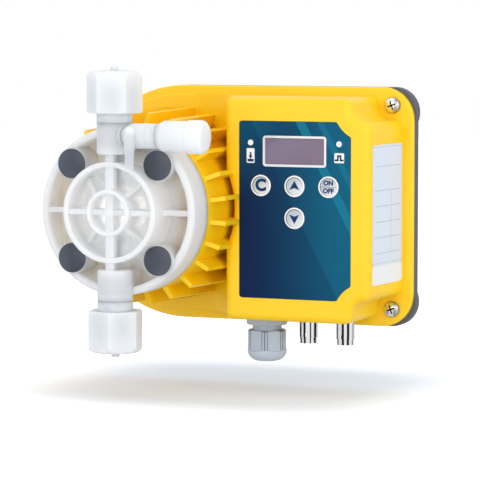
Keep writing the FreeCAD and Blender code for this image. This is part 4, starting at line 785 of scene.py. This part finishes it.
def addKeyMarks():
    look = keyMarks
    x, z, front = keyFace("clear_button")
    mark = word("C", x, z, front, look["letterHeight"], look["letterWeight"])
    keepPiece(mark, "clearMark", "navyInk", "clear_button")
    for node, name, down in (("up_button", "upMark", False), ("down_button", "downMark", True)):
        x, z, front = keyFace(node)
        shift = look["arrowShift"] if down else -look["arrowShift"]
        mark = arrowHead(x, z + shift, front, look["arrow"], look["notch"], down)
        keepPiece(mark, name, "navyInk", node)
    x, z, front = keyFace("on_off_button")
    marks = [
        word("ON", x, z + look["smallShift"], front, look["smallHeight"], look["smallWeight"]),
        word("OFF", x, z - look["smallShift"], front, look["smallHeight"], look["smallWeight"]),
    ]
    line = bar(x, z, front, look["lineWidth"], look["lineHeight"])
    keepPiece(line, "onOffLine", "greyInk", "on_off_button")
    keepPiece(joinPieces(marks), "onOffMark", "navyInk", "on_off_button")


# Two signs beside the display: an arrow down to a level, and a pulse
levelSign = dict(x=60.45, z=29.8, width=4.7, height=8.1, stemRise=0.95, stemHeight=1.9, headDrop=0.6,
                 head=1.4, notch=0.1, levelRise=1.5, levelHeight=1.5, levelMargin=1.0)
pulseSign = dict(x=112.85, z=29.4, width=5.7, height=5.4, foot=1.3, half=0.8, low=-1.2, rise=2.3)
signPlate = dict(corner=0.5, line=0.95)


def signBack(sign, front):
    return bar(sign["x"], sign["z"], front, sign["width"], sign["height"], signPlate["corner"])


def levelLines(top):
    look = levelSign
    x, z = look["x"], look["z"]
    return [
        bar(x, z + look["stemRise"], top, signPlate["line"], look["stemHeight"]),
        arrowHead(x, z - look["headDrop"], top, look["head"], look["notch"], True),
        bar(x, z - look["height"] / 2 + look["levelRise"], top, look["width"] - look["levelMargin"],
            look["levelHeight"]),
    ]


def pulseLines(top):
    look = pulseSign
    foot, half, low, rise = look["foot"], look["half"], look["low"], look["rise"]
    strokes = ((-half - foot, low, foot, 0), (-half, low, 0, rise), (-half, low + rise, 2 * half, 0),
               (half, low, 0, rise), (half, low, foot, 0))  # left and low end, width and height
    line = signPlate["line"]
    return [bar(look["x"] + left + width / 2, look["z"] + bottom + height / 2, top, width + line,
                height + line) for left, bottom, width, height in strokes]


def addSigns():
    front = boxInMm("control_panel")[0][1]
    top = front - (ink["thickness"] - ink["sunk"])
    plates = [signBack(levelSign, front), signBack(pulseSign, front)]
    keepPiece(joinPieces(plates), "signPlates", "whiteInk", "housing")
    lines = levelLines(top) + pulseLines(top)
    keepPiece(joinPieces(lines), "signLines", "navyInk", "housing")


addKeyMarks()
addSigns()
print("printed marks made")


# The return spring is clamped at its front end and shortens as the armature comes forward
spring = dict(stroke=1.25, sameSpot=0.001)


def addSpringCoil():
    selectOnly(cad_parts["return_spring"])
    bpy.ops.object.duplicate()
    coil = bpy.context.active_object
    bpy.ops.object.mode_set(mode="EDIT")
    bpy.ops.mesh.select_all(action="SELECT")
    bpy.ops.mesh.remove_doubles(threshold=spring["sameSpot"] * mm)
    bpy.ops.mesh.normals_make_consistent(inside=False)
    bpy.ops.object.mode_set(mode="OBJECT")
    keepPiece(coil, "springCoil", "stainlessSteel", "housing")
    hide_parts("return_spring")
    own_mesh(coil)


addSpringCoil()
print("return spring made")


# Floor: pale, and glowing to the camera alone, less in a rounded patch under the object: a painted shadow
# over the real one
studioFloor = dict(place=(38, -18, -104), size=6000, pale=(0.78, 0.80, 0.83), speck=(0.76, 0.78, 0.81),
                   specks=(3, 2), speckShare=0.2, roughness=0.9, nearGlow=(0.11, 0.135, 0.165),
                   farGlow=(0.5, 0.5, 0.5), shadowReach=(70, 150), shadowStretch=1.6)


def addFloor():
    look = studioFloor
    bpy.ops.mesh.primitive_plane_add(size=look["size"] * mm, location=Vector(look["place"]) * mm)
    floor = bpy.context.active_object
    floor.name = "floor"
    shader = Shader("paleFloor")
    colour = shader.mix(shader.noise(*look["specks"]) * look["speckShare"], look["pale"], look["speck"])
    # painted shadow: the glow is least in a rounded patch under the object, and tinted cool there
    away = (abs(shader.x) ** 4 + abs(shader.y) ** 4 * look["shadowStretch"]) ** 0.25
    glow = shader.mix(away.ramp(*look["shadowReach"]), look["nearGlow"], look["farGlow"])
    cameraRay = shader.node("LightPath", {}, {}, "Is Camera Ray")
    shader.glow(shader.mix(cameraRay, black, glow))
    floor.data.materials.append(shader.finish(colour, look["roughness"]))


# World: even light on the object, and white to the camera, in reflections and through glass
skyLook = dict(light=0.82, seen=1.0, white=(1.0, 1.0, 1.0, 1.0))


def addWorld():
    look = skyLook
    world = bpy.data.worlds.new("paleStudio")
    bpy.context.scene.world = world
    world.use_nodes = True
    sky = Nodes(world.node_tree)
    camera, glossy, through = (sky.node("LightPath", {}, {}, ray) for ray in
                               ("Is Camera Ray", "Is Glossy Ray", "Is Transmission Ray"))
    light, seen = (sky.node("Background", {}, {"Color": look["white"], "Strength": strength})
                   for strength in (look["light"], look["seen"]))
    blend = sky.node("MixShader", {}, {0: camera.larger(glossy).larger(through), 1: light, 2: seen})
    sky.feed(sky.tree.nodes["World Output"].inputs["Surface"], blend)


# Lamps: soft boxes in metres and watts
lamps = {
    "topSoftbox": dict(place=(0.05, -0.1, 1.0), size=(1.2, 1.0), power=1.5),
    "frontSoftbox": dict(place=(0.10, -1.3, 0.08), size=(1.0, 0.8), power=4.9),
    "rightSoftbox": dict(place=(1.2, -0.5, 0.25), size=(0.8, 1.0), power=3.8),
}
lampAim = (0.04, -0.05, 0.0)


def addLamps():
    for name, look in lamps.items():
        bpy.ops.object.light_add(type="AREA", location=look["place"])
        lamp = bpy.context.active_object
        lamp.name = name
        lamp.data.shape = "RECTANGLE"
        lamp.data.size, lamp.data.size_y = look["size"]
        lamp.data.energy = look["power"]
        beam = Vector(lampAim) - Vector(look["place"])
        lamp.rotation_euler = beam.to_track_quat("-Z", "Y").to_euler()


# Camera: at the photograph's angle, in degrees to the right of straight in front and up from level
view = dict(aim=(47.61, -40.0, -18.55), azimuth=23.28, elevation=4.76, distance=1514.4,
            focalPixels=2703.0, framePixels=480.0, sensor=36.0, farEnd=20000)


def addCamera():
    aim = Vector(view["aim"]) * mm
    turn = math.radians(view["azimuth"])
    rise = math.radians(view["elevation"])
    away = Vector((math.sin(turn) * math.cos(rise), -math.cos(turn) * math.cos(rise), math.sin(rise)))
    bpy.ops.object.camera_add(location=aim + away * view["distance"] * mm)
    camera = bpy.context.active_object
    camera.name = "camera"
    camera.rotation_euler = (-away).to_track_quat("-Z", "Y").to_euler()
    camera.data.sensor_width = view["sensor"]
    camera.data.lens = view["focalPixels"] / view["framePixels"] * view["sensor"]
    camera.data.clip_end = view["farEnd"] * mm
    bpy.context.scene.camera = camera


addFloor()
addWorld()
addLamps()
addCamera()
bpy.context.scene.view_settings.view_transform = "Standard"
print("studio ready")
